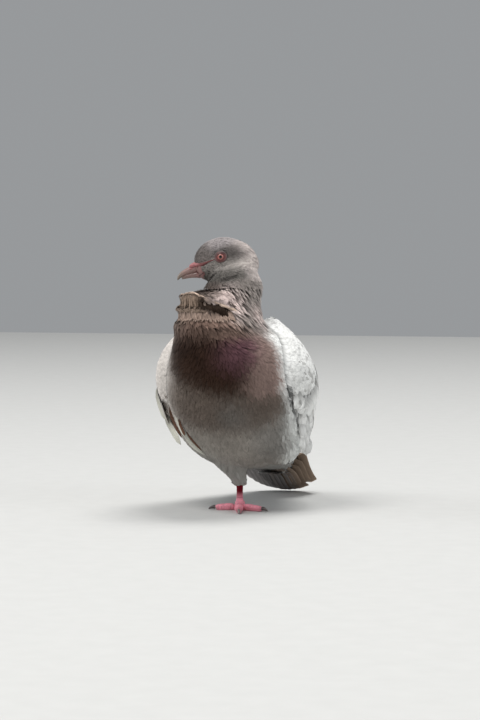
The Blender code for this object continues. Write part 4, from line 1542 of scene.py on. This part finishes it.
class OBJECT_OT_pigeon_tail(bpy.types.Operator):
    """Lay the twelve tail feathers and the coverts over them"""
    bl_idname = "object.pigeon_tail"
    bl_label = "Tail"

    COUNT = 12
    JOINTS = 15
    OVER, UNDER = 120 * MM, -20 * MM

    def execute(self, context):
        c = markings()
        rng = np.random.default_rng(31)
        tree = surface("tail").tree
        low, high = (Vector(corner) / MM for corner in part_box("tail"))
        number = np.arange(self.COUNT) - (self.COUNT - 1) / 2
        part = number / number[-1]
        root = np.stack((3 + 23 * part, np.full(self.COUNT, low.y + 4)), axis=1)
        tip = np.stack((8.0 + 22.5 * part, high.y + 3.0 - 12.0 * np.abs(part) ** 3), axis=1)
        u = np.linspace(0, 1, self.JOINTS)[None, :, None]
        line = root[:, None] * (1 - u) + tip[:, None] * u
        points = np.zeros((self.COUNT, self.JOINTS, 3))
        for n in range(self.COUNT):
            for k in range(self.JOINTS):
                x, y = line[n, k] * MM
                y = min(y, (high.y - 3) * MM)
                above = tree.ray_cast(Vector((x, y, self.OVER)), Vector((0, 0, -1)))[0]
                below = tree.ray_cast(Vector((x, y, self.UNDER)), Vector((0, 0, 1)))[0]
                if above is None:
                    at = tree.find_nearest(Vector((x, y, 0.02)))[0].z
                else:
                    share = max(0.0, 0.9 - k / 9)
                    at = above.z * share + below.z * (1 - share)
                points[n, k] = line[n, k][0] * MM, line[n, k][1] * MM, at
        points[:, :, 2] = evened(points[:, :, 2].T, 4).T
        ahead = headings(points)
        side = unit(np.cross(ahead, np.array((0, 0, 1.0))))
        outs = np.cross(side, ahead)
        lean = (np.radians(5) * np.sign(part) + np.radians(4) * part)[:, None, None]
        outs = outs * np.cos(lean) - side * np.sin(lean) * np.sign(side[:, :1, :1] + 0 * lean)
        points[:, :, 2] += (-0.8 + 2.8 * part[:, None] ** 2) * u[:, :, 0] * MM
        points[:, :, 2] += smooth(0.5, 1, part)[:, None] * smooth(0.45, 0, u[:, :, 0]) * 5 * MM
        points[:, :, 2] = np.maximum(points[:, :, 2], 0.7 * MM)
        slate, taupe = np.array(c.tail_slate), np.array(c.tail_taupe)
        share = smooth(-0.15, 0.6, part)[:, None]
        colour = slate * (1 - share) + taupe * share
        colour *= (1 + rng.uniform(-0.1, 0.1, self.COUNT))[:, None]
        quills = []
        for n in range(self.COUNT):
            pick = slice(n, n + 1)
            kind = ("tail", "tail_split")[int(rng.integers(2))]
            quills.append(tuft(kind, points[pick], outs[pick], 7.2, 0.35, colour[pick],
                               rng.random(1)))
        feathered("tail_quills", quills, "plumage_tail", "Tail Feathers", ("tail",), barbs=70,
                  slant=0.18, clumps=0.14, shaft=0.06, shaft_shade=1.6, root_shade=0.1, edge=1.5,
                  bump=0.08)

        def wanted(spots, ways):
            return (spots[:, 1] / MM > 84) & (ways[:, 2] > 0.5)

        outer = surface("body")
        roots, ways = outer.scatter(3.4, wanted, rng)
        lies = np.tile(np.array((0.0, 0.92, -0.37)), (len(roots), 1))
        lies[:, 0] = (roots[:, 0] / MM - 3) * 0.006
        lies = flattened(lies, ways, 0.3)
        tint = blend(marked(roots), taupe, smooth(12, 26, roots[:, 0] / MM))
        entries = laid_tract(outer.tree, roots, ways, lies, tint, rng, 22, 8,
                             ("round", "broad"), steps=5, follow=0.12, tilt=0.03, depth=1.0,
                             top=0.6, thick=0.14, ragged=0.14)
        feathered("tail_coverts", entries, "plumage_tail", "Tail Coverts", root_shade=0.3)
        return {"FINISHED"}


# ---------------------------------------------------------------- bare parts


def grain_group(name):
    """Fine noise over a surface, as a shade and a height, with a larger mottle."""
    tree, entry, leave = group(
        name, "Stretch", {"Grain Scale": 1500.0, "Mottle Scale": 250.0, "Grain": 0.2,
                          "Mottle": 0.2}, ("Shade", "Height"))
    where = node(tree, "ShaderNodeTexCoord")
    place = node(tree, "ShaderNodeVectorMath", operation="MULTIPLY")
    link(where.outputs["Object"], place.inputs[0])
    link(entry["Stretch"], place.inputs[1])
    parts = []
    for amount, detail in (("Grain", 3.0), ("Mottle", 2.0)):
        noise = node(tree, "ShaderNodeTexNoise", Detail=detail)
        link(place.outputs[0], noise.inputs["Vector"])
        link(entry[f"{amount} Scale"], noise.inputs["Scale"])
        swing = calc("MULTIPLY_ADD", noise.outputs[0], 2.0, -1.0)
        parts.append(calc("MULTIPLY", swing, entry[amount]))
    total = calc("ADD", *parts)
    link(calc("ADD", total, 1.0), leave["Shade"])
    link(total, leave["Height"])
    return tree


def bare_finish(name, roughness, grain, mottle, fine, broad, stretch=(1, 1, 1), bump=0.12,
                coat=0.0, subsurface=0.0, specular=0.5):
    """A finish for horn, scale and bare skin: painted tints broken by grain and mottle."""
    material, tree, shader = new_finish(
        name, Specular_IOR_Level=specular, Coat_Weight=coat, Coat_Roughness=0.08,
        Subsurface_Weight=subsurface, Subsurface_Scale=0.001)
    tint = node(tree, "ShaderNodeAttribute", attribute_name="Marking")
    texture = use_group(tree, "Fine Grain", grain_group, Grain_Scale=fine, Mottle_Scale=broad,
                        Grain=grain, Mottle=mottle, Stretch=stretch)
    height = texture.outputs["Height"]
    rough = calc("MULTIPLY_ADD", height, 0.15, roughness, clamp=True)
    link(rough, shader.inputs["Roughness"])
    paint(tree, shader, tint, texture.outputs["Shade"], height, 0.6, bump)
    return material


def tinted(bm, tint):
    """bm as a smooth mesh whose Marking holds tint(spots), rows of red, green and blue."""
    mesh = as_mesh(bm)
    spots = np.array([v.co for v in mesh.vertices])
    colour = np.concatenate((np.clip(tint(spots), 0, 1), np.ones((len(spots), 1))), axis=1)
    layer = mesh.attributes.new("Marking", "FLOAT_COLOR", "POINT")
    layer.data.foreach_set("color", colour.ravel())
    mesh.polygons.foreach_set("use_smooth", np.ones(len(mesh.polygons), bool))
    return mesh


def blend(first, second, share):
    """Between two colours, or two rows of colours, by that share of the second."""
    return np.array(first) * (1 - share[:, None]) + np.array(second) * share[:, None]


def side_of_face(forward, up, side, lift=0.0):
    """A point on the side of the face, lifted off the coat's surface, in metres."""
    tree = surface("body").tree
    start = HEAD @ (Vector((forward, 30 * side, up)) * MM)
    aim = (LEFT * -side).normalized()
    hit, normal, _, _ = tree.ray_cast(start, aim)
    if hit is None:
        hit, normal, _, _ = tree.find_nearest(HEAD @ (Vector((forward, 9 * side, up)) * MM))
    return hit + normal * lift * MM


def thicken(sheet, sign, deep):
    """Turns a sheet beside the face to look outwards, and makes it deep millimetres thick."""
    bmesh.ops.recalc_face_normals(sheet, faces=sheet.faces)
    if sum(face.normal.dot(LEFT * sign) for face in sheet.faces) < 0:
        bmesh.ops.reverse_faces(sheet, faces=sheet.faces)
    bmesh.ops.solidify(sheet, geom=sheet.faces[:], thickness=deep * MM)


class OBJECT_OT_pigeon_eyes(bpy.types.Operator):
    """Make the eyes and their bare lids"""
    bl_idname = "object.pigeon_eyes"
    bl_label = "Eyes"

    def execute(self, context):
        c, size = markings(), sizes()
        whole = bmesh.new()
        for side in ("left", "right"):
            sign = 1 if side == "left" else -1
            place = TO_HEAD @ middle(f"eye_{side}")
            ball = bmesh.new()
            bmesh.ops.create_uvsphere(ball, u_segments=48, v_segments=36, radius=size.eye_radius)
            turn = Matrix.Rotation(-sign * math.pi / 2, 4, "X")
            for vert in ball.verts:
                rim = math.hypot(vert.co.x, vert.co.y) / size.iris_radius
                if vert.co.z > 0 and rim < 1:
                    vert.co.z += 0.42 * MM * (1 - rim * rim)
            ball.transform(HEAD @ Matrix.Translation(place) @ turn)
            pour(ball, whole)

        def tint(spots):
            f, _, u = head_places(spots).T
            away = np.hypot(f, u) * MM / size.iris_radius
            out = blend(c.pupil, c.iris_inner, smooth(0.44, 0.52, away))
            out = blend(out, c.iris_outer, smooth(0.66, 0.9, away))
            return blend(out, c.eye_rim, smooth(0.9, 1.04, away))

        finish = bare_finish("Eye", 0.25, 0.12, 0.25, 2600.0, 900.0, bump=0.0, coat=0.25,
                             specular=0.3)
        piece("eyes", tinted(whole, tint), finish, ("eye_left", "eye_right"))

        whole = bmesh.new()
        # Rings of the lid: radius, lift, and whether they keep to the eyeball (0) or the coat (1).
        rings = ((2.5, 0.1, 0.0), (2.6, 0.42, 0.0), (2.85, 0.62, 0.15), (3.15, 0.42, 0.3),
                 (3.45, 0.6, 0.45), (3.75, 0.38, 0.65), (4.05, 0.5, 0.85), (4.4, 0.22, 1.0),
                 (4.8, 0.05, 1.0), (5.3, -0.7, 1.0))
        for sign in (1, -1):
            lid = bmesh.new()
            made = bmesh.ops.create_circle(lid, segments=64, radius=1.0)["verts"]
            angles = [math.atan2(v.co.y, v.co.x) for v in made]
            edges = lid.edges[:]
            for number, (radius, lift, skinward) in enumerate(rings):
                if number:
                    grown = bmesh.ops.extrude_edge_only(lid, edges=edges)["geom"]
                    edges = [g for g in grown if isinstance(g, bmesh.types.BMEdge)
                             and not g.link_faces[1:]]
                    made = [g for g in grown if isinstance(g, bmesh.types.BMVert)]
                    places = [TO_HEAD @ v.co for v in made]
                    angles = [math.atan2(place.z, place.x) for place in places]
                for vert, angle in zip(made, angles):
                    long = 1.06 if math.cos(angle) > 0 else 1.02
                    f = radius * long * math.cos(angle)
                    u = radius * (0.95 - 0.05 * (radius < 3.0)) * math.sin(angle)
                    ball = 8.7 + math.sqrt(max(0.0, 25 - f * f - u * u))
                    coat = abs((TO_HEAD @ side_of_face(f, u, sign)).y) / MM
                    crease = 0.07 * math.sin(angle * 9 + radius * 5)
                    out = (ball * (1 - skinward) + coat * skinward) + lift + crease
                    vert.co = HEAD @ (Vector((f, out * sign, u)) * MM)
            thicken(lid, sign, 0.25)
            pour(lid, whole)

        def lid_tint(spots):
            f, _, u = head_places(spots).T
            away = np.hypot(f, u / 0.95)
            out = blend(c.lid_inner, c.lid, smooth(2.5, 3.2, away))
            out = blend(out, c.lid_outer, smooth(3.8, 4.7, away))
            # Painted shade: the upper part of the lid is darkened, as under the brow.
            return out * (1 - 0.5 * smooth(-0.5, 2.5, u))[:, None]

        finish = bare_finish("Eyelid", 0.5, 0.2, 0.25, 2400.0, 700.0, bump=0.2, subsurface=0.1)
        piece("eyelids", tinted(whole, lid_tint), finish)
        return {"FINISHED"}


class OBJECT_OT_pigeon_bill(bpy.types.Operator):
    """Make the bill, the swollen cere over it and the bare strips to the eyes"""
    bl_idname = "object.pigeon_bill"
    bl_label = "Bill"

    def execute(self, context):
        c = markings()
        for half in ("upper", "lower"):
            bm = fused(welded((f"bill_{half}",), 0.0), 0.3 * MM, 4)
            if half == "lower":
                for vert in bm.verts:
                    lift = 1.4 * float(smooth(-0.1, 0.5, vert.normal.dot(ABOVE)))
                    vert.co += ABOVE * lift * MM
                bm.normal_update()

            def tint(spots):
                f, _, u = head_places(spots).T
                out = blend(c.bill_base, c.bill, smooth(17, 25, f))
                out = blend(out, c.bill_tip, smooth(30, 37, f))
                return out * (1 - 0.25 * smooth(-0.5, 1.0, -np.abs(u + 7) + 1.0))[:, None]

            finish = bare_finish(f"Horn {half.title()}", 0.42, 0.12, 0.2, 1800.0, 500.0,
                                 (0.35, 0.35, 1.0), 0.08, 0.15)
            piece(f"bill_{half}_horn", tinted(bm, tint), finish, (f"bill_{half}",))

        bm = fused(welded(("head", "bill_upper", "bill_lower"), 0.25 * MM), 0.45 * MM, 5)
        for place, way in (((15.0, 0, 0), AHEAD), ((25.0, 0, 0), -AHEAD), ((0, 0, -1.5), -ABOVE),
                           ((0, 0, -14.5), ABOVE)):
            bmesh.ops.bisect_plane(bm, geom=bm.verts[:] + bm.edges[:] + bm.faces[:],
                                   plane_co=HEAD @ (Vector(place) * MM),
                                   plane_no=way, clear_inner=True)
        bm.normal_update()
        for vert in bm.verts:
            f = (TO_HEAD @ vert.co).x / MM
            deep = 0.3 + 0.5 * smooth(20.5, 23, f) + 1.1 * smooth(18, 15.5, f)
            vert.co -= vert.normal * float(deep) * MM

        def gape_tint(spots):
            f, _, u = head_places(spots).T
            corner = -8.9 + 0.28 * (20 - f)
            line = np.exp(-((u - corner) / 0.42) ** 2) * smooth(16.2, 17.2, f)
            base = blend(c.bill_base, c.bill, smooth(15, 22, f)) * (1 - 0.75 * line)[:, None]
            return blend(base, c.jaw, smooth(18.3, 17.2, f) * smooth(-9.5, -11, u))

        finish = bare_finish("Gape", 0.5, 0.15, 0.25, 2000.0, 600.0, bump=0.12)
        piece("gape", tinted(bm, gape_tint), finish)

        lumps = bmesh.new()  # the centre and the reach of each swelling of the cere
        for sign in (1, -1):
            for at, reach in (((21.2, 1.7, 0.0), (4.9, 2.1, 2.2)),
                              ((24.6, 1.8, -1.8), (2.6, 1.4, 0.9)),
                              ((18.2, 3.3, -0.4), (3.2, 2.5, 2.0)),
                              ((16.0, 4.9, -0.8), (2.6, 1.9, 1.5))):
                ball = bmesh.new()
                bmesh.ops.create_uvsphere(ball, u_segments=24, v_segments=16, radius=1.0)
                spot = Matrix.Translation(Vector((at[0], at[1] * sign, at[2])) * MM)
                ball.transform(HEAD @ spot @ Matrix.Diagonal([r * MM for r in reach] + [1]))
                pour(ball, lumps)
        bm = fused(lumps, 0.25 * MM, 3)
        for vert in bm.verts:
            f, side, u = TO_HEAD @ vert.co / MM
            slit = math.exp(-((u + 1.9 - 0.25 * (f - 23)) / 0.35) ** 2) * (21.5 < f < 26.5)
            fold = math.exp(-(side / 0.35) ** 2)
            wrinkle = 0.06 * math.sin(f * 4.2 + side * 2.5)
            vert.co += vert.normal * (wrinkle - 0.35 * fold - 0.5 * slit * (abs(side) > 0.8)) * MM

        def cere_tint(spots):
            _, side, u = head_places(spots).T
            out = blend(c.cere, c.cere_edge, smooth(-0.5, -2.6, u))
            # Painted shade in the groove down the middle of the cere.
            return out * (1 - 0.3 * np.exp(-(side / 0.4) ** 2))[:, None]

        finish = bare_finish("Cere", 0.6, 0.2, 0.25, 2200.0, 600.0, bump=0.15, subsurface=0.1)
        piece("cere_skin", tinted(bm, cere_tint), finish, ("cere",))

        strip = bmesh.new()
        for sign in (1, -1):
            one = bmesh.new()
            bmesh.ops.create_grid(one, x_segments=20, y_segments=4, size=1.0)
            for vert in one.verts:
                x, y = vert.co.x, vert.co.y
                f = 12.4 + 8.0 * x
                u = strip_line(f) + y * strip_width(f)
                lift = 0.05 - 0.5 * y * y
                vert.co = side_of_face(f, u, sign, lift)
            thicken(one, sign, 0.3)
            pour(one, strip)
        finish = bare_finish("Bare Strip", 0.55, 0.2, 0.3, 2400.0, 700.0, bump=0.15)
        mesh = tinted(strip, lambda spots: np.tile(np.array(c.strip), (len(spots), 1)))
        piece("face_strips", mesh, finish)
        return {"FINISHED"}


class OBJECT_OT_pigeon_leg(bpy.types.Operator):
    """Make the scaled leg and toes, and the claws"""
    bl_idname = "object.pigeon_leg"
    bl_label = "Leg"

    def execute(self, context):
        c = markings()
        toes, claws = (tuple(f"{part}_{t}" for t in ("inner", "middle", "outer", "hind"))
                       for part in ("toe", "claw"))
        names = ("shank_right", "foot_right") + toes
        bm = fused(welded(names, 0.12 * MM), 0.4 * MM, 3)
        floor = min(v.co.z for v in bm.verts)
        joint = middle("foot_right")
        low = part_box("foot_right")[1][2]

        def scutes(spot, normal):
            away = math.hypot(spot.x - joint.x, spot.y - joint.y) / MM
            if spot.z > low - 0.5 * MM and away < 4.5:
                run, face = spot.z / MM / 1.45, -normal.y * 0.9 - normal.x * 0.3
            else:
                run, face = away / 1.35, normal.z
            saw = run % 1.0
            plate = smooth(0.0, 0.18, saw) * (1 - 0.35 * saw)
            return float(plate * smooth(-0.15, 0.45, face))

        for vert in bm.verts:
            under = vert.co.z < floor + 0.9 * MM
            rise = (scutes(vert.co, vert.normal) - 0.35) * 0.5
            pebble = 0.10 * math.sin(vert.co.x / MM * 6) * math.sin(vert.co.y / MM * 6.5
                                                                    + vert.co.z / MM * 6)
            if not under:
                vert.co += vert.normal * (rise + pebble) * MM
        for vert in bm.verts:
            vert.co.z = max(vert.co.z, floor)

        def from_joint(spots):
            return np.hypot(spots[:, 0] - joint.x, spots[:, 1] - joint.y) / MM

        def tint(spots):
            # Partly painted light and shade: the shank's dark red fades to the toes' lit pale
            # pink.
            out = blend(c.leg, c.toe, smooth(16, 8, spots[:, 2] / MM))
            line = np.array([scutes(Vector(s), Vector((0, -0.6, 0.8))) for s in spots])
            out *= (0.5 + 0.58 * smooth(0.0, 0.6, line))[:, None]
            return blend(out, c.toe_tip, 0.6 * smooth(16, 27, from_joint(spots)))

        finish = bare_finish("Leg Scales", 0.55, 0.15, 0.3, 1600.0, 420.0, bump=0.15,
                             subsurface=0.05, specular=0.1)
        piece("leg_scales", tinted(bm, tint), finish, names)

        bm = fused(welded(claws, 0.0), 0.28 * MM, 3)

        def claw_tint(spots):
            return blend(c.claw, c.claw_tip, smooth(22, 32, from_joint(spots)))

        finish = bare_finish("Claw Horn", 0.38, 0.12, 0.25, 1400.0, 500.0, bump=0.08, coat=0.2)
        piece("claws", tinted(bm, claw_tint), finish, claws)
        return {"FINISHED"}


# ---------------------------------------------------------------- studio


class OBJECT_OT_pigeon_studio(bpy.types.Operator):
    """Make the floor, the lights and the camera"""
    bl_idname = "object.pigeon_studio"
    bl_label = "Studio"

    def execute(self, context):
        scene = context.scene
        bm = bmesh.new()
        bmesh.ops.create_grid(bm, x_segments=1, y_segments=1, size=3.0)
        floor = put("floor", as_mesh(bm, "floor"))
        material, tree, shader = new_finish("Floor Paint", Roughness=0.9)
        ramp = node(tree, "ShaderNodeValToRGB")
        ramp.color_ramp.elements[0].color = (0.50, 0.50, 0.49, 1)
        ramp.color_ramp.elements[1].color = (0.55, 0.55, 0.54, 1)
        link(noise(tree, Scale=60.0, Detail=5.0), ramp.inputs[0])
        link(ramp.outputs[0], shader.inputs["Base Color"])
        floor.data.materials.append(material)

        world = bpy.data.worlds.new("Studio")
        scene.world = world
        world.use_nodes = True
        world.node_tree.nodes["Background"].inputs[0].default_value = (0.62, 0.64, 0.66, 1)
        world.node_tree.nodes["Background"].inputs[1].default_value = 0.5

        aim = Vector((0, 0, 0.12))
        for name, place, size, power, colour in (
                ("key", (-0.9, -2.0, 3.2), 1.6, 84, (1.0, 0.985, 0.96)),
                ("top", (0.7, 0.5, 3.6), 1.8, 95, (1.0, 0.99, 0.97)),
                ("fill_left", (-3.2, -0.6, 1.2), 1.8, 40, (0.95, 0.98, 1.0)),
                ("fill_right", (3.0, -1.0, 1.4), 1.8, 23, (0.95, 0.98, 1.0))):
            data = bpy.data.lights.new(name, "AREA")
            data.energy = power
            data.size = size
            data.color = colour
            lamp = put(name, data)
            lamp.location = place
            lamp.rotation_euler = (aim - Vector(place)).to_track_quat("-Z", "Y").to_euler()

        data = bpy.data.cameras.new("camera")
        data.lens = 125
        data.sensor_width = 36
        data.clip_start = 0.05
        camera = put("camera", data)
        azimuth, elevation, reach = math.radians(13), math.radians(3.2), 2.0
        target = Vector((0, 0, 0.1205))
        away = Vector((math.sin(azimuth) * math.cos(elevation),
                       -math.cos(azimuth) * math.cos(elevation), math.sin(elevation)))
        camera.location = target + away * reach
        camera.rotation_euler = (-away).to_track_quat("-Z", "Y").to_euler()
        scene.camera = camera
        scene.view_settings.view_transform = "Standard"
        return {"FINISHED"}


# ---------------------------------------------------------------- add-on


OPERATORS = (
    OBJECT_OT_pigeon_skin,
    OBJECT_OT_pigeon_head_coat,
    OBJECT_OT_pigeon_neck_coat,
    OBJECT_OT_pigeon_body_coat,
    OBJECT_OT_pigeon_wings,
    OBJECT_OT_pigeon_tail,
    OBJECT_OT_pigeon_eyes,
    OBJECT_OT_pigeon_bill,
    OBJECT_OT_pigeon_leg,
    OBJECT_OT_pigeon_studio,
)


class VIEW3D_PT_pigeon(bpy.types.Panel):
    """The pigeon's pieces and their settings"""
    bl_label = "Pigeon"
    bl_space_type = "VIEW_3D"
    bl_region_type = "UI"
    bl_category = "Pigeon"

    def draw(self, context):
        for operator in OPERATORS:
            self.layout.operator(operator.bl_idname)
        for settings in (markings(), sizes()):
            for key in settings.bl_rna.properties.keys():
                if key not in ("rna_type", "name"):
                    self.layout.prop(settings, key)


CLASSES = (PigeonMarkings, PigeonSizes) + OPERATORS + (VIEW3D_PT_pigeon,)


def register():
    for cls in CLASSES:
        bpy.utils.register_class(cls)
    bpy.types.Scene.pigeon_markings = bpy.props.PointerProperty(type=PigeonMarkings)
    bpy.types.Scene.pigeon_sizes = bpy.props.PointerProperty(type=PigeonSizes)


def unregister():
    del bpy.types.Scene.pigeon_sizes
    del bpy.types.Scene.pigeon_markings
    for cls in reversed(CLASSES):
        bpy.utils.unregister_class(cls)


def main():
    register()
    for operator in OPERATORS:
        getattr(bpy.ops.object, operator.bl_idname.split(".")[1])()


if __name__ == "__main__":
    main()
